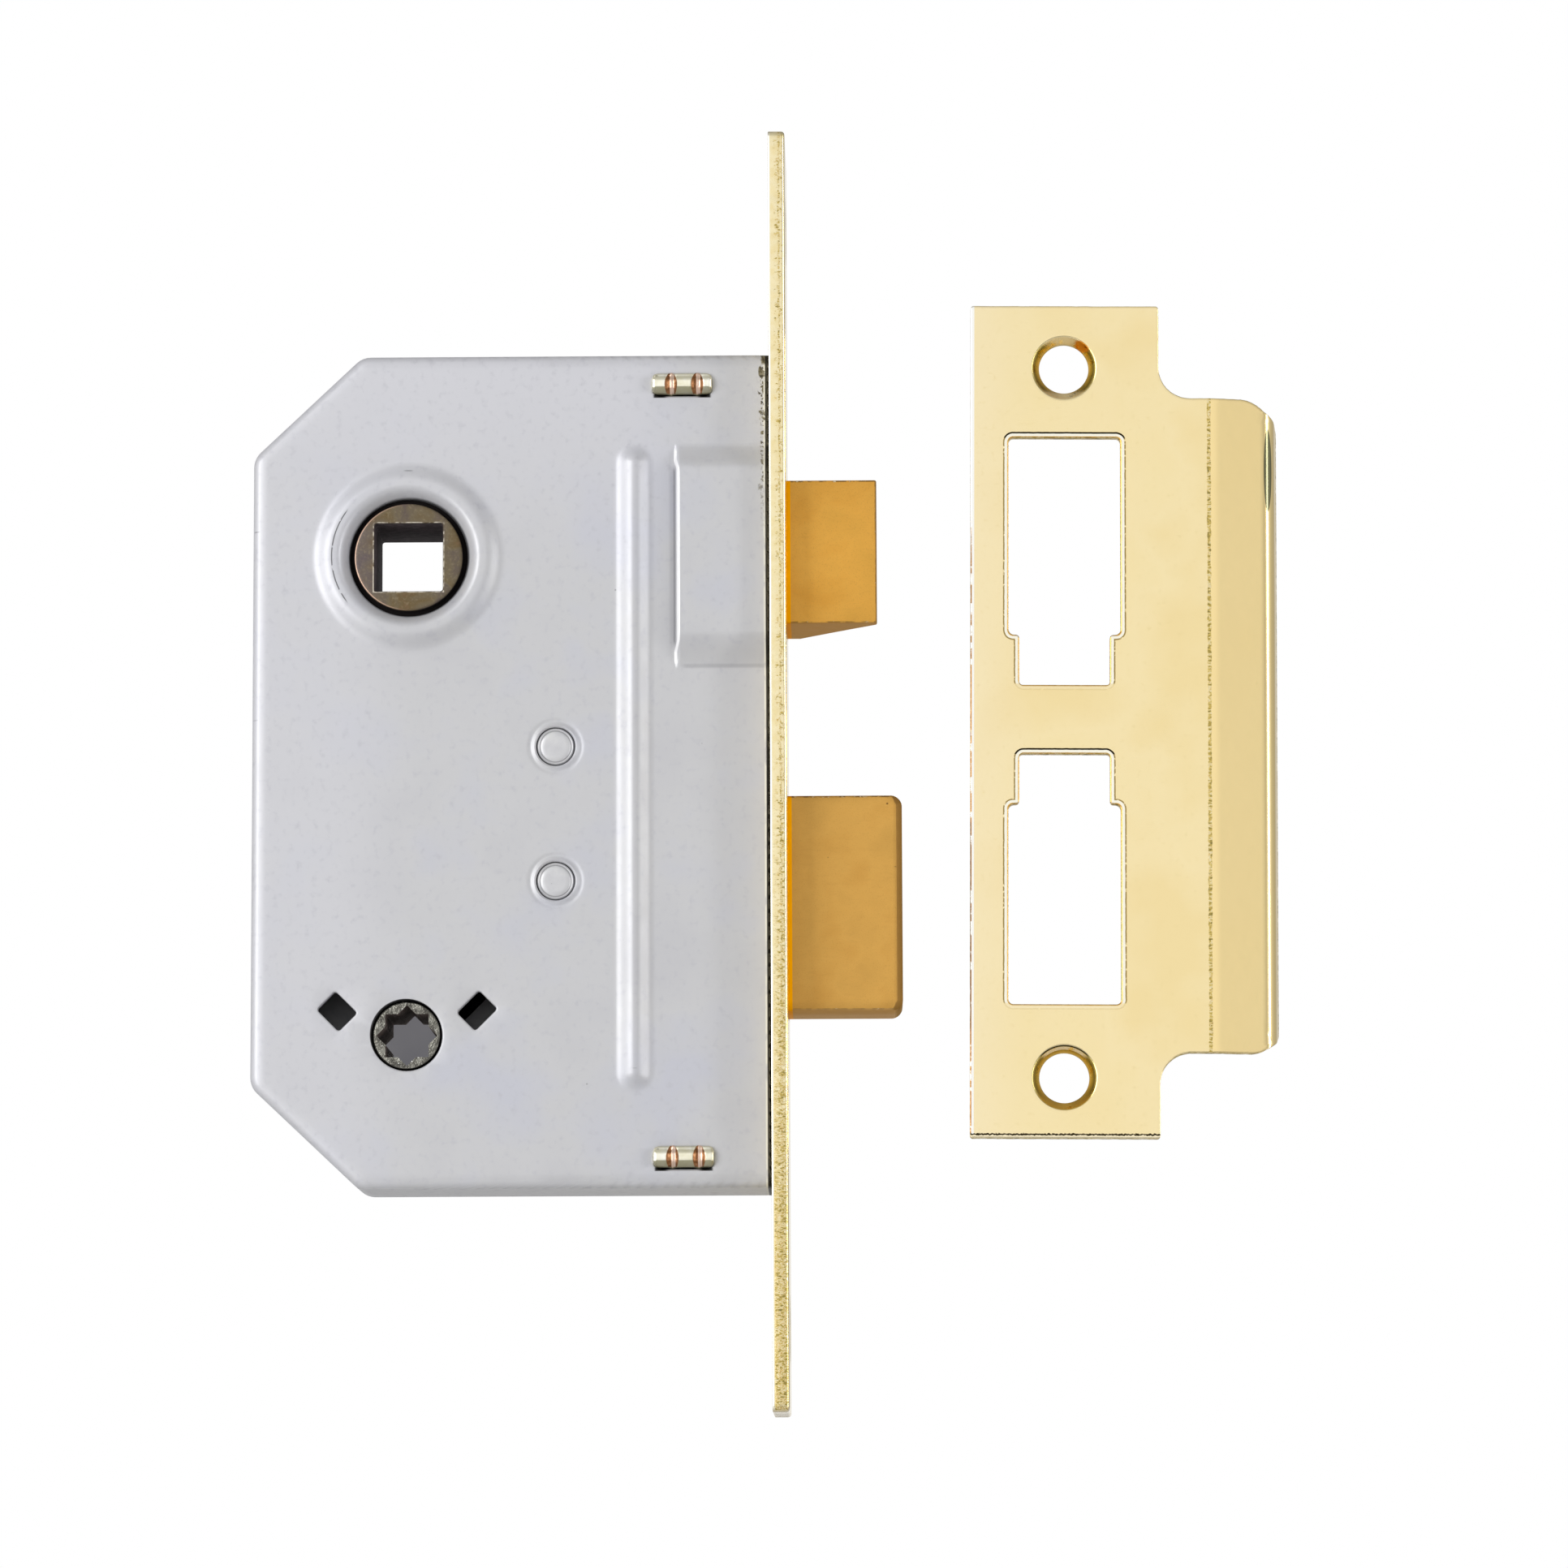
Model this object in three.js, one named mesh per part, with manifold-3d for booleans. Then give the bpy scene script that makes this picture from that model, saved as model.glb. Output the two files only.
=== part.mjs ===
// Bathroom mortise sash lock with its loose strike plate. Millimetres, +Z up.
// +X is the way the bolts are thrown, Y runs through the door's thickness.
// The origin is the middle of the forend's outer face.
import * as THREE from "three";
import { mergeVertices } from "three/addons/utils/BufferGeometryUtils.js";
import Module from "manifold-3d";

const wasm = await Module();
wasm.setup();

// ---- Driving dimensions ----
const GAP = 0.3; // between pieces that touch
const THROUGH = 10; // half length of a cut that passes right through in Y
const FAR = 60; // beyond every side of the case
const FOREND = { height: 152, width: 22, thick: 2, cornerR: 0.6, screwZ: 66, screwR: 2.5, headR: 4.4 };
const CASE = { front: -2.3, rear: -63.4, halfHeight: 49.7, halfDepth: 7.25, sheet: 1.2, bend: 1.2 };
const CHAMFER = { x: 12.9, z: 12.2, cornerR: 2.5 };
const INNER = CASE.halfDepth - CASE.sheet; // inner face of either case side

const LATCH_HUB = { x: -44.9, z: 25.4, r: 6.45, hole: 7, square: 8.15, collar: 7.9 };
const LATCH_ARM = { reach: 14.1, width: 4.4, halfY: 2.5, endR: 1.2 };
const BOSS = { base: 11.2, crest: 9.4, lip: 8.2, raise: 0.9 };
const TURN_HUB = { x: -44.9, z: -31.6, r: 3.9, hole: 4.2, square: 5.1, collar: 5.6, armW: 4.4, play: 0.45 };

const LATCH = { out: 10.7, z: 26, height: 17, halfY: 6.25, rearHalfY: 5.75 };
const BEVEL = { start: 1.2, nose: 1.6, bendX: 0.55, bendY: 0.6 }; // the latch's curved side
const LATCH_TRAVEL = 10.2;
const LATCH_REAR = -6;
const LATCH_STEP = -2.4; // the thick head ends here, inside the forend's opening
const DEAD = { out: 13.5, z: -15.9, height: 25.3, halfY: 5.7, rear: -2.8, noseR: 0.8, cornerR: 1.6 };
// the turn follower's pin swings a quarter turn, 45 degrees to each side of upright, and so throws the bolt
const DRIVE = { arm: DEAD.out / Math.SQRT2, pinR: 1.5, slack: 0.4, restAngle: Math.PI / 4 };

const POST = { x: -27.4, upperZ: 2.6, lowerZ: -13.4, r: 2.5, endR: 1.95, hole: 2.3, short: 0.1 };
const DIMPLE = { rimR: 1.3, floorR: 0.5, depth: 0.5 }; // punch mark in each post end
const RIB = { x: -18.1, halfW: 2.35, top: 38.9, bottom: -38.5, raise: 1 };
const POCKET = { rear: -12.8, top: 38.6, bottom: 12, flatTop: 35.8, flatBottom: 15.7, raise: 1.8 };
const SLOT = { rear: -15.9, front: -8.8, height: 2.6, cornerR: 0.9, upperZ: 45.9, lowerZ: -46.2 };
const FOOT = { height: 2, proud: 0.9, past: 0.6, cornerR: 0.6 };
const STAKE = { half: 0.35, shares: [0.3, 0.74] }; // chisel marks, placed along a foot's end
const DIAMOND = { dx: 8.25, dz: 2.9, width: 3.1, length: 3.7 };

const STEM = { r: 2.5, front: 3.7, rear: -26.3, blind: 4 };
const SEAT = { r: 4.7, depth: 5 }; // counterbore in the latch head for its spring
const CLIP = { r: 3.7, thick: 0.8, play: 0.1, mouth: 3.2, frontX: -20.05, rearX: -25.7 };
const GUIDE = { thick: 1.7, top: 36.9, bottom: -36.5, proud: 0.7 };
const YOKE = { y0: -5.7, y1: -4.1, barIn: 8.2, barOut: 11, cornerR: 1, thick: 1.6 };
const YOKE_FOOT = { out: 14.1, wide: 4, bentTo: 2.6, lap: 0.4 };
const YOKE_EAR = { bentTo: 3.5, half: 5 }; // carries the hole for the stem
const YOKE_REAR = LATCH_HUB.x - 4;
const YOKE_TAB = -24.6;
const TAIL = { halfY: 1.25, top: -8, bottom: -26, rear: -43.6, neckX: 6, cornerR: 0.8, slotR: 2 };
const TAIL_PIN = { x: -0.95, r: 0.75, length: 9, sunk: 0.3, slotHalf: 1.05, slotFloor: 4, notch: 6.3 };
const DETENT = { x: -38, depth: 0.9, halfW: 1.3 };
const LEAF = { thick: 0.5, halfY: 2, wrapFrom: 200, wrapTo: -55 }; // wrap angles in degrees
const HUMP = { half: 0.5, over: 0.1, riseX: 2.4, riseZ: 1.3, endX: 3, endZ: 2 };
const STUD = { x: YOKE_REAR, z: 44.3, r: 1.6, endR: 1.2, innerY: -2.6 };
const WIRE = 0.4; // wire radius of both wire springs
const COIL = { turns: 7, r: 3.7 }; // latch spring
const HAIRPIN = { turns: 3.5, pitch: 1.1, startY: 2.4, lead: 2.2, lean: 0.2 };

const STRIKE = { x: 21.9, z: 7.5, height: 100.8, flat: 22.75, overall: 36.95, face: 6.2, thick: 1.5 };
const STRIKE_R = { plate: 1, opening: 0.5 }; // corner radii
const TONGUE = { top: 46.6, bottom: -32.9, crease: 6.3, fillet: 3.8, topR: 4.2, bottomR: 2.7 };
const LIP = { tilt: 0.21, run: 5, curlR: 2.6, curlEnd: 1.4, tip: 1 };
const OPENING = { x: 4.35, wide: 14, narrow: 11.4, tall: 24.6, step: 6.1, gapHalf: 3.95, midZ: 7.3 };
const STRIKE_HOLE = { x: 11.3, topZ: 50.3, bottomZ: -35.9, r: 3, headR: 3.8, sink: 0.9 };

// ---- Materials ----
const finish = (color, roughness, metalness) => ({ color, roughness, metalness });
const PAINT = finish(0xc8c8cd, 0.45, 0.3);
const BRASS = finish(0xf0d9a0, 0.2, 1);
const BOLT_ZINC = finish(0xcf9d4e, 0.35, 1);
const BRONZE = finish(0x80715a, 0.4, 1);
const ZINC = finish(0x8c8a7d, 0.35, 1);
const STEEL = finish(0xa8a9ac, 0.4, 1);
const SPRING = finish(0x6f7176, 0.3, 1);

// ---- Solid helpers ----
function solidOf(geometry) {
  const plain = geometry.clone();
  plain.deleteAttribute("normal");
  plain.deleteAttribute("uv");
  const merged = mergeVertices(plain, 1e-5);
  const mesh = new wasm.Mesh({
    numProp: 3,
    vertProperties: new Float32Array(merged.attributes.position.array),
    triVerts: new Uint32Array(merged.index.array),
  });
  return new wasm.Manifold(mesh);
}

function geometryOf(solid) {
  const mesh = solid.getMesh();
  const geometry = new THREE.BufferGeometry();
  geometry.setAttribute("position", new THREE.BufferAttribute(new Float32Array(mesh.vertProperties), 3));
  geometry.setIndex(new THREE.BufferAttribute(new Uint32Array(mesh.triVerts), 1));
  geometry.computeVertexNormals();
  return geometry;
}

function block(x0, x1, y0, y1, z0, z1) {
  const geometry = new THREE.BoxGeometry(x1 - x0, y1 - y0, z1 - z0);
  geometry.translate((x0 + x1) / 2, (y0 + y1) / 2, (z0 + z1) / 2);
  return solidOf(geometry);
}

// a cylinder or cone along Y, with its radius at y0 and at y1
function rod(x, z, r0, y0, y1, sides = 32, r1 = r0) {
  const geometry = new THREE.CylinderGeometry(r1, r0, y1 - y0, sides);
  geometry.translate(x, (y0 + y1) / 2, z);
  return solidOf(geometry);
}

// a cylinder or cone along X, with its radius at x0 and at x1
function rodX(y, z, r0, x0, x1, sides = 32, r1 = r0) {
  const geometry = new THREE.CylinderGeometry(r1, r0, x1 - x0, sides);
  geometry.rotateZ(-Math.PI / 2);
  geometry.translate((x0 + x1) / 2, y, z);
  return solidOf(geometry);
}

// an outline in X and Z, extruded from y0 to y1
function slab(shape, y0, y1, bevel = 0) {
  const options = { depth: y1 - y0 - 2 * bevel, bevelEnabled: bevel > 0, curveSegments: 6 };
  options.bevelSize = bevel;
  options.bevelThickness = bevel;
  options.bevelOffset = -bevel;
  options.bevelSegments = 3;
  const geometry = new THREE.ExtrudeGeometry(shape, options);
  geometry.translate(0, 0, bevel);
  geometry.rotateX(Math.PI / 2);
  geometry.translate(0, y1, 0);
  return solidOf(geometry);
}

// a closed outline whose corners are rounded, each corner with its own radius
function rounded(corners) {
  const shape = new THREE.Shape();
  corners.forEach(([x, z, r = 0], i) => {
    const before = corners[(i + corners.length - 1) % corners.length];
    const after = corners[(i + 1) % corners.length];
    const here = new THREE.Vector2(x, z);
    const inward = new THREE.Vector2(before[0] - x, before[1] - z).normalize();
    const onward = new THREE.Vector2(after[0] - x, after[1] - z).normalize();
    const setback = r / Math.tan(inward.angleTo(onward) / 2);
    const start = here.clone().addScaledVector(inward, setback);
    const end = here.clone().addScaledVector(onward, setback);
    if (i === 0) shape.moveTo(start.x, start.y);
    else shape.lineTo(start.x, start.y);
    if (r > 0) shape.quadraticCurveTo(x, z, end.x, end.y);
  });
  shape.closePath();
  return shape;
}

function rectangle(x0, x1, z0, z1, r = 0) {
  return rounded([[x0, z0, r], [x1, z0, r], [x1, z1, r], [x0, z1, r]]);
}

// a strip of the given thickness along a centre line in X and Z
function ribbon(points, thick) {
  const side = (sign) =>
    points.map((point, i) => {
      const before = points[Math.max(i - 1, 0)];
      const after = points[Math.min(i + 1, points.length - 1)];
      const along = after.clone().sub(before).normalize();
      return new THREE.Vector2(-along.y, along.x).multiplyScalar((sign * thick) / 2).add(point);
    });
  return new THREE.Shape([...side(1), ...side(-1).reverse()]);
}

function arc(x, z, r, from, to, steps) {
  return Array.from({ length: steps + 1 }, (_, i) => {
    const angle = from + ((to - from) * i) / steps;
    return new THREE.Vector2(x + r * Math.cos(angle), z + r * Math.sin(angle));
  });
}

// round wire along a curve through the given points
function wireAlong(points, radius, steps) {
  const section = new THREE.Shape();
  section.absarc(0, 0, radius, 0, 2 * Math.PI);
  const options = { steps, curveSegments: 3, bevelEnabled: false };
  options.extrudePath = new THREE.CatmullRomCurve3(points);
  return new THREE.ExtrudeGeometry(section, options);
}

function cut(solid, ...tools) {
  return tools.reduce((left, tool) => left.subtract(tool), solid);
}

function join(solid, ...others) {
  return others.reduce((left, other) => left.add(other), solid);
}

const mirrored = (solid) => solid.mirror([0, 1, 0]);

// a hole right through the forend, a gap larger all round than the bolt that slides in it
function boltWay(bolt) {
  const halfY = bolt.halfY + GAP;
  const halfZ = bolt.height / 2 + GAP;
  return block(-FOREND.thick - 1, 1, -halfY, halfY, bolt.z - halfZ, bolt.z + halfZ);
}

const lock = new THREE.Group();

function add(name, shape, look) {
  const geometry = shape.isBufferGeometry ? shape : geometryOf(shape);
  const mesh = new THREE.Mesh(geometry, new THREE.MeshStandardMaterial(look));
  mesh.name = name;
  lock.add(mesh);
}

// ---- Forend ----
function forendPlate() {
  const { height, width, thick, cornerR, screwZ, screwR, headR } = FOREND;
  const half = height / 2;
  const plate = block(-thick, 0, -width / 2, width / 2, -half, half);
  const edge = cornerR * Math.SQRT2;
  const corners = [-1, 1].flatMap((sy) =>
    [-1, 1].map((sz) => {
      const bar = new THREE.BoxGeometry(2 * thick + 1, edge, edge);
      bar.rotateX(Math.PI / 4);
      bar.translate(0, (sy * width) / 2, sz * half);
      return solidOf(bar);
    }),
  );
  const screwHoles = [-screwZ, screwZ].flatMap((z) => [
    rodX(0, z, screwR, -thick - 1, 1, 24),
    rodX(0, z, screwR - 0.2, -thick + 0.2, 0.1, 24, headR + 0.1),
  ]);
  return cut(plate, ...corners, ...screwHoles, boltWay(LATCH), boltWay(DEAD));
}

// a bar between the case sides; its two end tongues stand through them
function forendFoot(slotZ) {
  const z0 = slotZ - FOOT.height / 2;
  const z1 = slotZ + FOOT.height / 2;
  const bar = block(SLOT.rear - FOOT.past, -FOREND.thick - GAP, -INNER + GAP, INNER - GAP, z0, z1);
  const reach = CASE.halfDepth + FOOT.proud;
  const tongue = rectangle(SLOT.rear + GAP, SLOT.front - GAP, z0, z1, FOOT.cornerR);
  const stakes = STAKE.shares.map((share) => {
    const x = SLOT.rear + (SLOT.front - SLOT.rear) * share;
    return block(x - STAKE.half, x + STAKE.half, reach - STAKE.half, reach + 1, z0 - 1, z1 + 1);
  });
  return cut(join(bar, slab(tongue, -reach, reach)), ...stakes, ...stakes.map(mirrored));
}

// ---- Case ----
function caseOutline(inset, front = CASE.front) {
  const x = CASE.rear + inset;
  const z = CASE.halfHeight - inset;
  const slope = inset * 0.59; // the sloped walls keep the same thickness
  const r = Math.max(CHAMFER.cornerR - inset, 1);
  return rounded([
    [front, -z],
    [front, z],
    [x + CHAMFER.x - slope, z, r],
    [x, z - CHAMFER.z + slope, r],
    [x, -z + CHAMFER.z - slope, r],
    [x + CHAMFER.x - slope, -z, r],
  ]);
}

// a raised frustum pressed out of the sheet, seen as a solid from the case's middle outwards
function pressed(base, top, level, raise) {
  const geometry = new THREE.BufferGeometry();
  const corners = [...base.map(([x, z]) => [x, level, z]), ...top.map(([x, z]) => [x, level + raise, z])];
  const faces = [0, 1, 2, 0, 2, 3, 4, 6, 5, 4, 7, 6];
  for (let i = 0; i < 4; i++) {
    const j = (i + 1) % 4;
    faces.push(i, i + 4, j, j, i + 4, j + 4);
  }
  geometry.setAttribute("position", new THREE.Float32BufferAttribute(corners.flat(), 3));
  geometry.setIndex(faces);
  return solidOf(geometry);
}

// the latch pocket, on the +Y side; it runs out at the case's front edge
function pocketSolid(level) {
  const front = CASE.front;
  const rear = POCKET.rear;
  const base = [[rear, POCKET.bottom], [front, POCKET.bottom], [front, POCKET.top], [rear, POCKET.top]];
  const top = [
    [rear, POCKET.flatBottom],
    [front, POCKET.flatBottom],
    [front, POCKET.flatTop],
    [rear, POCKET.flatTop],
  ];
  return pressed(base, top, level, POCKET.raise);
}

// everything pressed outwards from a flat side on +Y, with the matching hollows inside
function sideFeatures() {
  const outer = CASE.halfDepth;
  const sheet = CASE.sheet;
  const { halfW, raise } = RIB;
  const ribShape = rectangle(RIB.x - halfW, RIB.x + halfW, RIB.bottom, RIB.top, halfW * 0.98);
  const rib = slab(ribShape, outer - 0.2, outer + raise);
  const grooveW = halfW - sheet;
  const groove = slab(
    rectangle(RIB.x - grooveW, RIB.x + grooveW, RIB.bottom + sheet, RIB.top - sheet, grooveW * 0.9),
    INNER - 1,
    INNER + raise,
  );
  const crest = outer + BOSS.raise;
  const boss = rod(LATCH_HUB.x, LATCH_HUB.z, BOSS.base, outer - 0.001, crest, 48, BOSS.crest);
  const funnel = rod(LATCH_HUB.x, LATCH_HUB.z, LATCH_HUB.hole, outer - 0.3, crest + 0.01, 48, BOSS.lip);
  const diamonds = [-1, 1].map((sx) => {
    const hole = new THREE.BoxGeometry(DIAMOND.width, 4, DIAMOND.length);
    hole.rotateY((sx * Math.PI) / 4);
    hole.translate(TURN_HUB.x + sx * DIAMOND.dx, outer, TURN_HUB.z + DIAMOND.dz);
    return solidOf(hole);
  });
  const through = (x, z, r, sides) => rod(x, z, r, INNER - 1, outer + 3, sides);
  const slots = [SLOT.upperZ, SLOT.lowerZ].map((z) => {
    const half = SLOT.height / 2;
    return slab(rectangle(SLOT.rear, SLOT.front, z - half, z + half, SLOT.cornerR), INNER - 1, outer + 1);
  });
  const openings = [
    funnel,
    groove,
    pocketSolid(INNER - 0.001),
    through(LATCH_HUB.x, LATCH_HUB.z, LATCH_HUB.hole, 48),
    through(TURN_HUB.x, TURN_HUB.z, TURN_HUB.hole, 32),
    through(POST.x, POST.upperZ, POST.hole, 24),
    through(POST.x, POST.lowerZ, POST.hole, 24),
    ...slots,
  ];
  return { raised: [rib, boss, pocketSolid(outer - 0.001)], openings, diamonds };
}

function caseCover() {
  const plate = slab(caseOutline(0), INNER, CASE.halfDepth);
  const { raised, openings } = sideFeatures();
  const studHole = rod(STUD.x, STUD.z, STUD.endR + GAP, INNER - 1, CASE.halfDepth + 1, 20);
  return cut(join(plate, ...raised), ...openings, studHole);
}

function caseBody() {
  const over = 6; // the bevelled blank runs past the front edge and is trimmed there
  const blank = slab(caseOutline(0, CASE.front + over), -CASE.halfDepth, INNER - GAP + over, CASE.bend);
  const hollow = slab(caseOutline(CASE.sheet, CASE.front + 2 * over), -INNER, CASE.halfDepth + over);
  const trims = [
    block(CASE.front, 2 * over, -FAR, FAR, -FAR, FAR),
    block(CASE.rear - 1, over, INNER - GAP, FAR, -FAR, FAR),
  ];
  const { raised, openings, diamonds } = sideFeatures();
  const tray = cut(blank, hollow, ...trims);
  return cut(join(tray, ...raised.map(mirrored)), ...[...openings, ...diamonds].map(mirrored));
}

function guidePost(z) {
  const shoulder = rod(POST.x, z, POST.r, -INNER + GAP, INNER - GAP, 24);
  const ends = CASE.halfDepth - POST.short;
  const post = join(shoulder, rod(POST.x, z, POST.endR, -ends, ends, 24));
  const dent = rod(POST.x, z, DIMPLE.floorR, ends - DIMPLE.depth, ends + 0.2, 16, DIMPLE.rimR);
  return cut(post, dent, mirrored(dent));
}

// room for the dead bolt's tail, from x0 to x1
function tailWay(x0, x1) {
  const halfY = TAIL.halfY + GAP;
  return block(x0, x1, -halfY, halfY, TAIL.bottom - GAP, TAIL.top + GAP);
}

function boltGuidePlate() {
  const x0 = RIB.x - GUIDE.thick / 2;
  const x1 = RIB.x + GUIDE.thick / 2;
  const edge = INNER + GUIDE.proud;
  const plate = block(x0, x1, -edge, edge, GUIDE.bottom, GUIDE.top);
  const stemHole = rodX(0, LATCH.z, STEM.r + GAP, x0 - 1, x1 + 1, 24);
  return cut(plate, stemHole, tailWay(x0 - 1, x1 + 1));
}

// ---- Latch ----
function latchBolt() {
  const z0 = LATCH.z - LATCH.height / 2;
  const z1 = LATCH.z + LATCH.height / 2;
  const plan = new THREE.Shape();
  plan.moveTo(LATCH_STEP, -LATCH.halfY);
  plan.lineTo(LATCH.out, -LATCH.halfY);
  plan.lineTo(LATCH.out, -LATCH.halfY + BEVEL.nose);
  plan.quadraticCurveTo(LATCH.out * BEVEL.bendX, LATCH.halfY * BEVEL.bendY, BEVEL.start, LATCH.halfY);
  plan.lineTo(LATCH_STEP, LATCH.halfY);
  const options = { depth: LATCH.height, bevelEnabled: false, curveSegments: 10 };
  const head = new THREE.ExtrudeGeometry(plan, options);
  head.translate(0, 0, z0);
  const rear = block(LATCH_REAR, LATCH_STEP + 0.2, -LATCH.rearHalfY, LATCH.rearHalfY, z0, z1);
  const seat = rodX(0, LATCH.z, SEAT.r, LATCH_REAR - 1, LATCH_REAR + SEAT.depth, 28);
  const blind = rodX(0, LATCH.z, STEM.r + GAP, LATCH_REAR, STEM.blind, 24);
  return cut(join(solidOf(head), rear), seat, blind);
}

function latchStem() {
  return rodX(0, LATCH.z, STEM.r, STEM.rear, STEM.front, 24);
}

// a clip ring with an open mouth
function stemClip(x) {
  const ring = rodX(0, LATCH.z, CLIP.r, x, x + CLIP.thick, 28);
  const bore = rodX(0, LATCH.z, STEM.r + CLIP.play, x - 1, x + CLIP.thick + 1, 24);
  const half = CLIP.mouth / 2;
  const mouth = block(x - 1, x + CLIP.thick + 1, -half, half, LATCH.z - CLIP.r - 1, LATCH.z);
  return cut(ring, bore, mouth);
}

function latchYoke() {
  const { y0, y1, barIn, barOut, thick } = YOKE;
  const z = LATCH_HUB.z;
  const tabFront = YOKE_TAB + thick;
  const rear = YOKE_REAR;
  const plate = slab(rectangle(rear, tabFront, z - barOut, z + barOut, YOKE.cornerR), y0, y1);
  const mouthEnd = LATCH_HUB.x + LATCH_HUB.collar + LATCH_TRAVEL + GAP;
  const mouth = block(rear - 1, mouthEnd, y0 - 1, y1 + 1, z - barIn, z + barIn);
  const { bentTo, half } = YOKE_EAR;
  const tab = block(YOKE_TAB, tabFront, y0, bentTo, LATCH.z - half, LATCH.z + half);
  const tabHole = rodX(0, LATCH.z, STEM.r + GAP, YOKE_TAB - 1, tabFront + 1, 24);
  const feet = [-1, 1].flatMap((sz) => {
    const inner = z + sz * barIn;
    const outer = z + sz * YOKE_FOOT.out;
    const toe = z + sz * (barOut - YOKE_FOOT.lap);
    const [low, high] = [Math.min(inner, outer), Math.max(inner, outer)];
    return [
      block(rear, rear + YOKE_FOOT.wide, y0, y1, low, high),
      block(rear, rear + thick, y0, YOKE_FOOT.bentTo, Math.min(toe, outer), Math.max(toe, outer)),
    ];
  });
  return cut(join(cut(plate, mouth), tab, ...feet), tabHole);
}

function latchFollower() {
  const { x, z, r, square, collar } = LATCH_HUB;
  const { reach, width, halfY, endR } = LATCH_ARM;
  const end = CASE.halfDepth - GAP;
  const hub = rod(x, z, r, -end, end, 40);
  const body = rod(x, z, collar, -INNER + GAP, INNER - GAP, 40);
  const arms = slab(rectangle(x - width / 2, x + width / 2, z - reach, z + reach, endR), -halfY, halfY);
  const half = square / 2;
  const hole = block(x - half, x + half, -THROUGH, THROUGH, z - half, z + half);
  return cut(join(hub, body, arms), hole);
}

// coil spring round the stem, between the latch head and the guide plate
function latchSpring() {
  const { turns, r } = COIL;
  const x0 = RIB.x + GUIDE.thick / 2 + GAP + WIRE;
  const x1 = LATCH_REAR + SEAT.depth - GAP - WIRE;
  const count = turns * 10;
  const points = Array.from({ length: count + 1 }, (_, i) => {
    const angle = (2 * Math.PI * turns * i) / count;
    const x = x0 + ((x1 - x0) * i) / count;
    return new THREE.Vector3(x, r * Math.cos(angle), LATCH.z + r * Math.sin(angle));
  });
  return wireAlong(points, WIRE, turns * 14);
}

function springStud() {
  const flange = rod(STUD.x, STUD.z, STUD.r, STUD.innerY, INNER - GAP, 20);
  return join(flange, rod(STUD.x, STUD.z, STUD.endR, INNER - 1, CASE.halfDepth - POST.short, 20));
}

// hairpin spring: one leg on the case's top wall, the other behind the yoke's upper foot
function returnSpring() {
  const r = STUD.r + GAP + WIRE;
  const { turns, pitch, startY, lead, lean } = HAIRPIN;
  const steps = Math.round(turns * 12);
  const coil = Array.from({ length: steps + 1 }, (_, i) => {
    const angle = (2 * Math.PI * turns * i) / steps;
    const y = startY - (pitch * turns * i) / steps;
    return new THREE.Vector3(STUD.x + r * Math.cos(angle), y, STUD.z + r * Math.sin(angle));
  });
  const topLeg = [new THREE.Vector3(STUD.x + r + lean, startY + lean, STUD.z - lead)];
  const last = coil[coil.length - 1];
  const footX = YOKE_REAR - GAP - WIRE;
  const bottomLeg = [
    new THREE.Vector3(last.x + lean / 2, last.y - lean, last.z - STUD.r),
    new THREE.Vector3(footX - lean, last.y - lean, LATCH_HUB.z + YOKE_FOOT.out - 1),
    new THREE.Vector3(footX, last.y - lean, LATCH_HUB.z + YOKE.barOut + 0.5),
  ];
  return wireAlong([...topLeg, ...coil, ...bottomLeg], WIRE, 84);
}

// ---- Dead bolt ----
function deadBolt() {
  const z0 = DEAD.z - DEAD.height / 2;
  const z1 = DEAD.z + DEAD.height / 2;
  const { rear, out, noseR, halfY, cornerR } = DEAD;
  const side = rounded([[rear, z0], [out, z0, cornerR], [out, z1, cornerR], [rear, z1]]);
  const plan = new THREE.Shape();
  plan.moveTo(rear, -halfY);
  plan.lineTo(out - noseR, -halfY);
  plan.lineTo(out, -halfY + noseR);
  plan.lineTo(out, halfY - noseR);
  plan.lineTo(out - noseR, halfY);
  plan.lineTo(rear, halfY);
  const across = new THREE.ExtrudeGeometry(plan, { depth: DEAD.height + 2, bevelEnabled: false });
  across.translate(0, 0, z0 - 1);
  const head = slab(side, -halfY, halfY).intersect(solidOf(across));
  const { x, slotHalf, slotFloor } = TAIL_PIN;
  const pinHole = block(x - slotHalf, x + slotHalf, -slotHalf, slotHalf, z0 + slotFloor, z1 + 1);
  return cut(head, tailWay(rear - 1, TAIL.neckX + GAP), pinHole);
}

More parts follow.
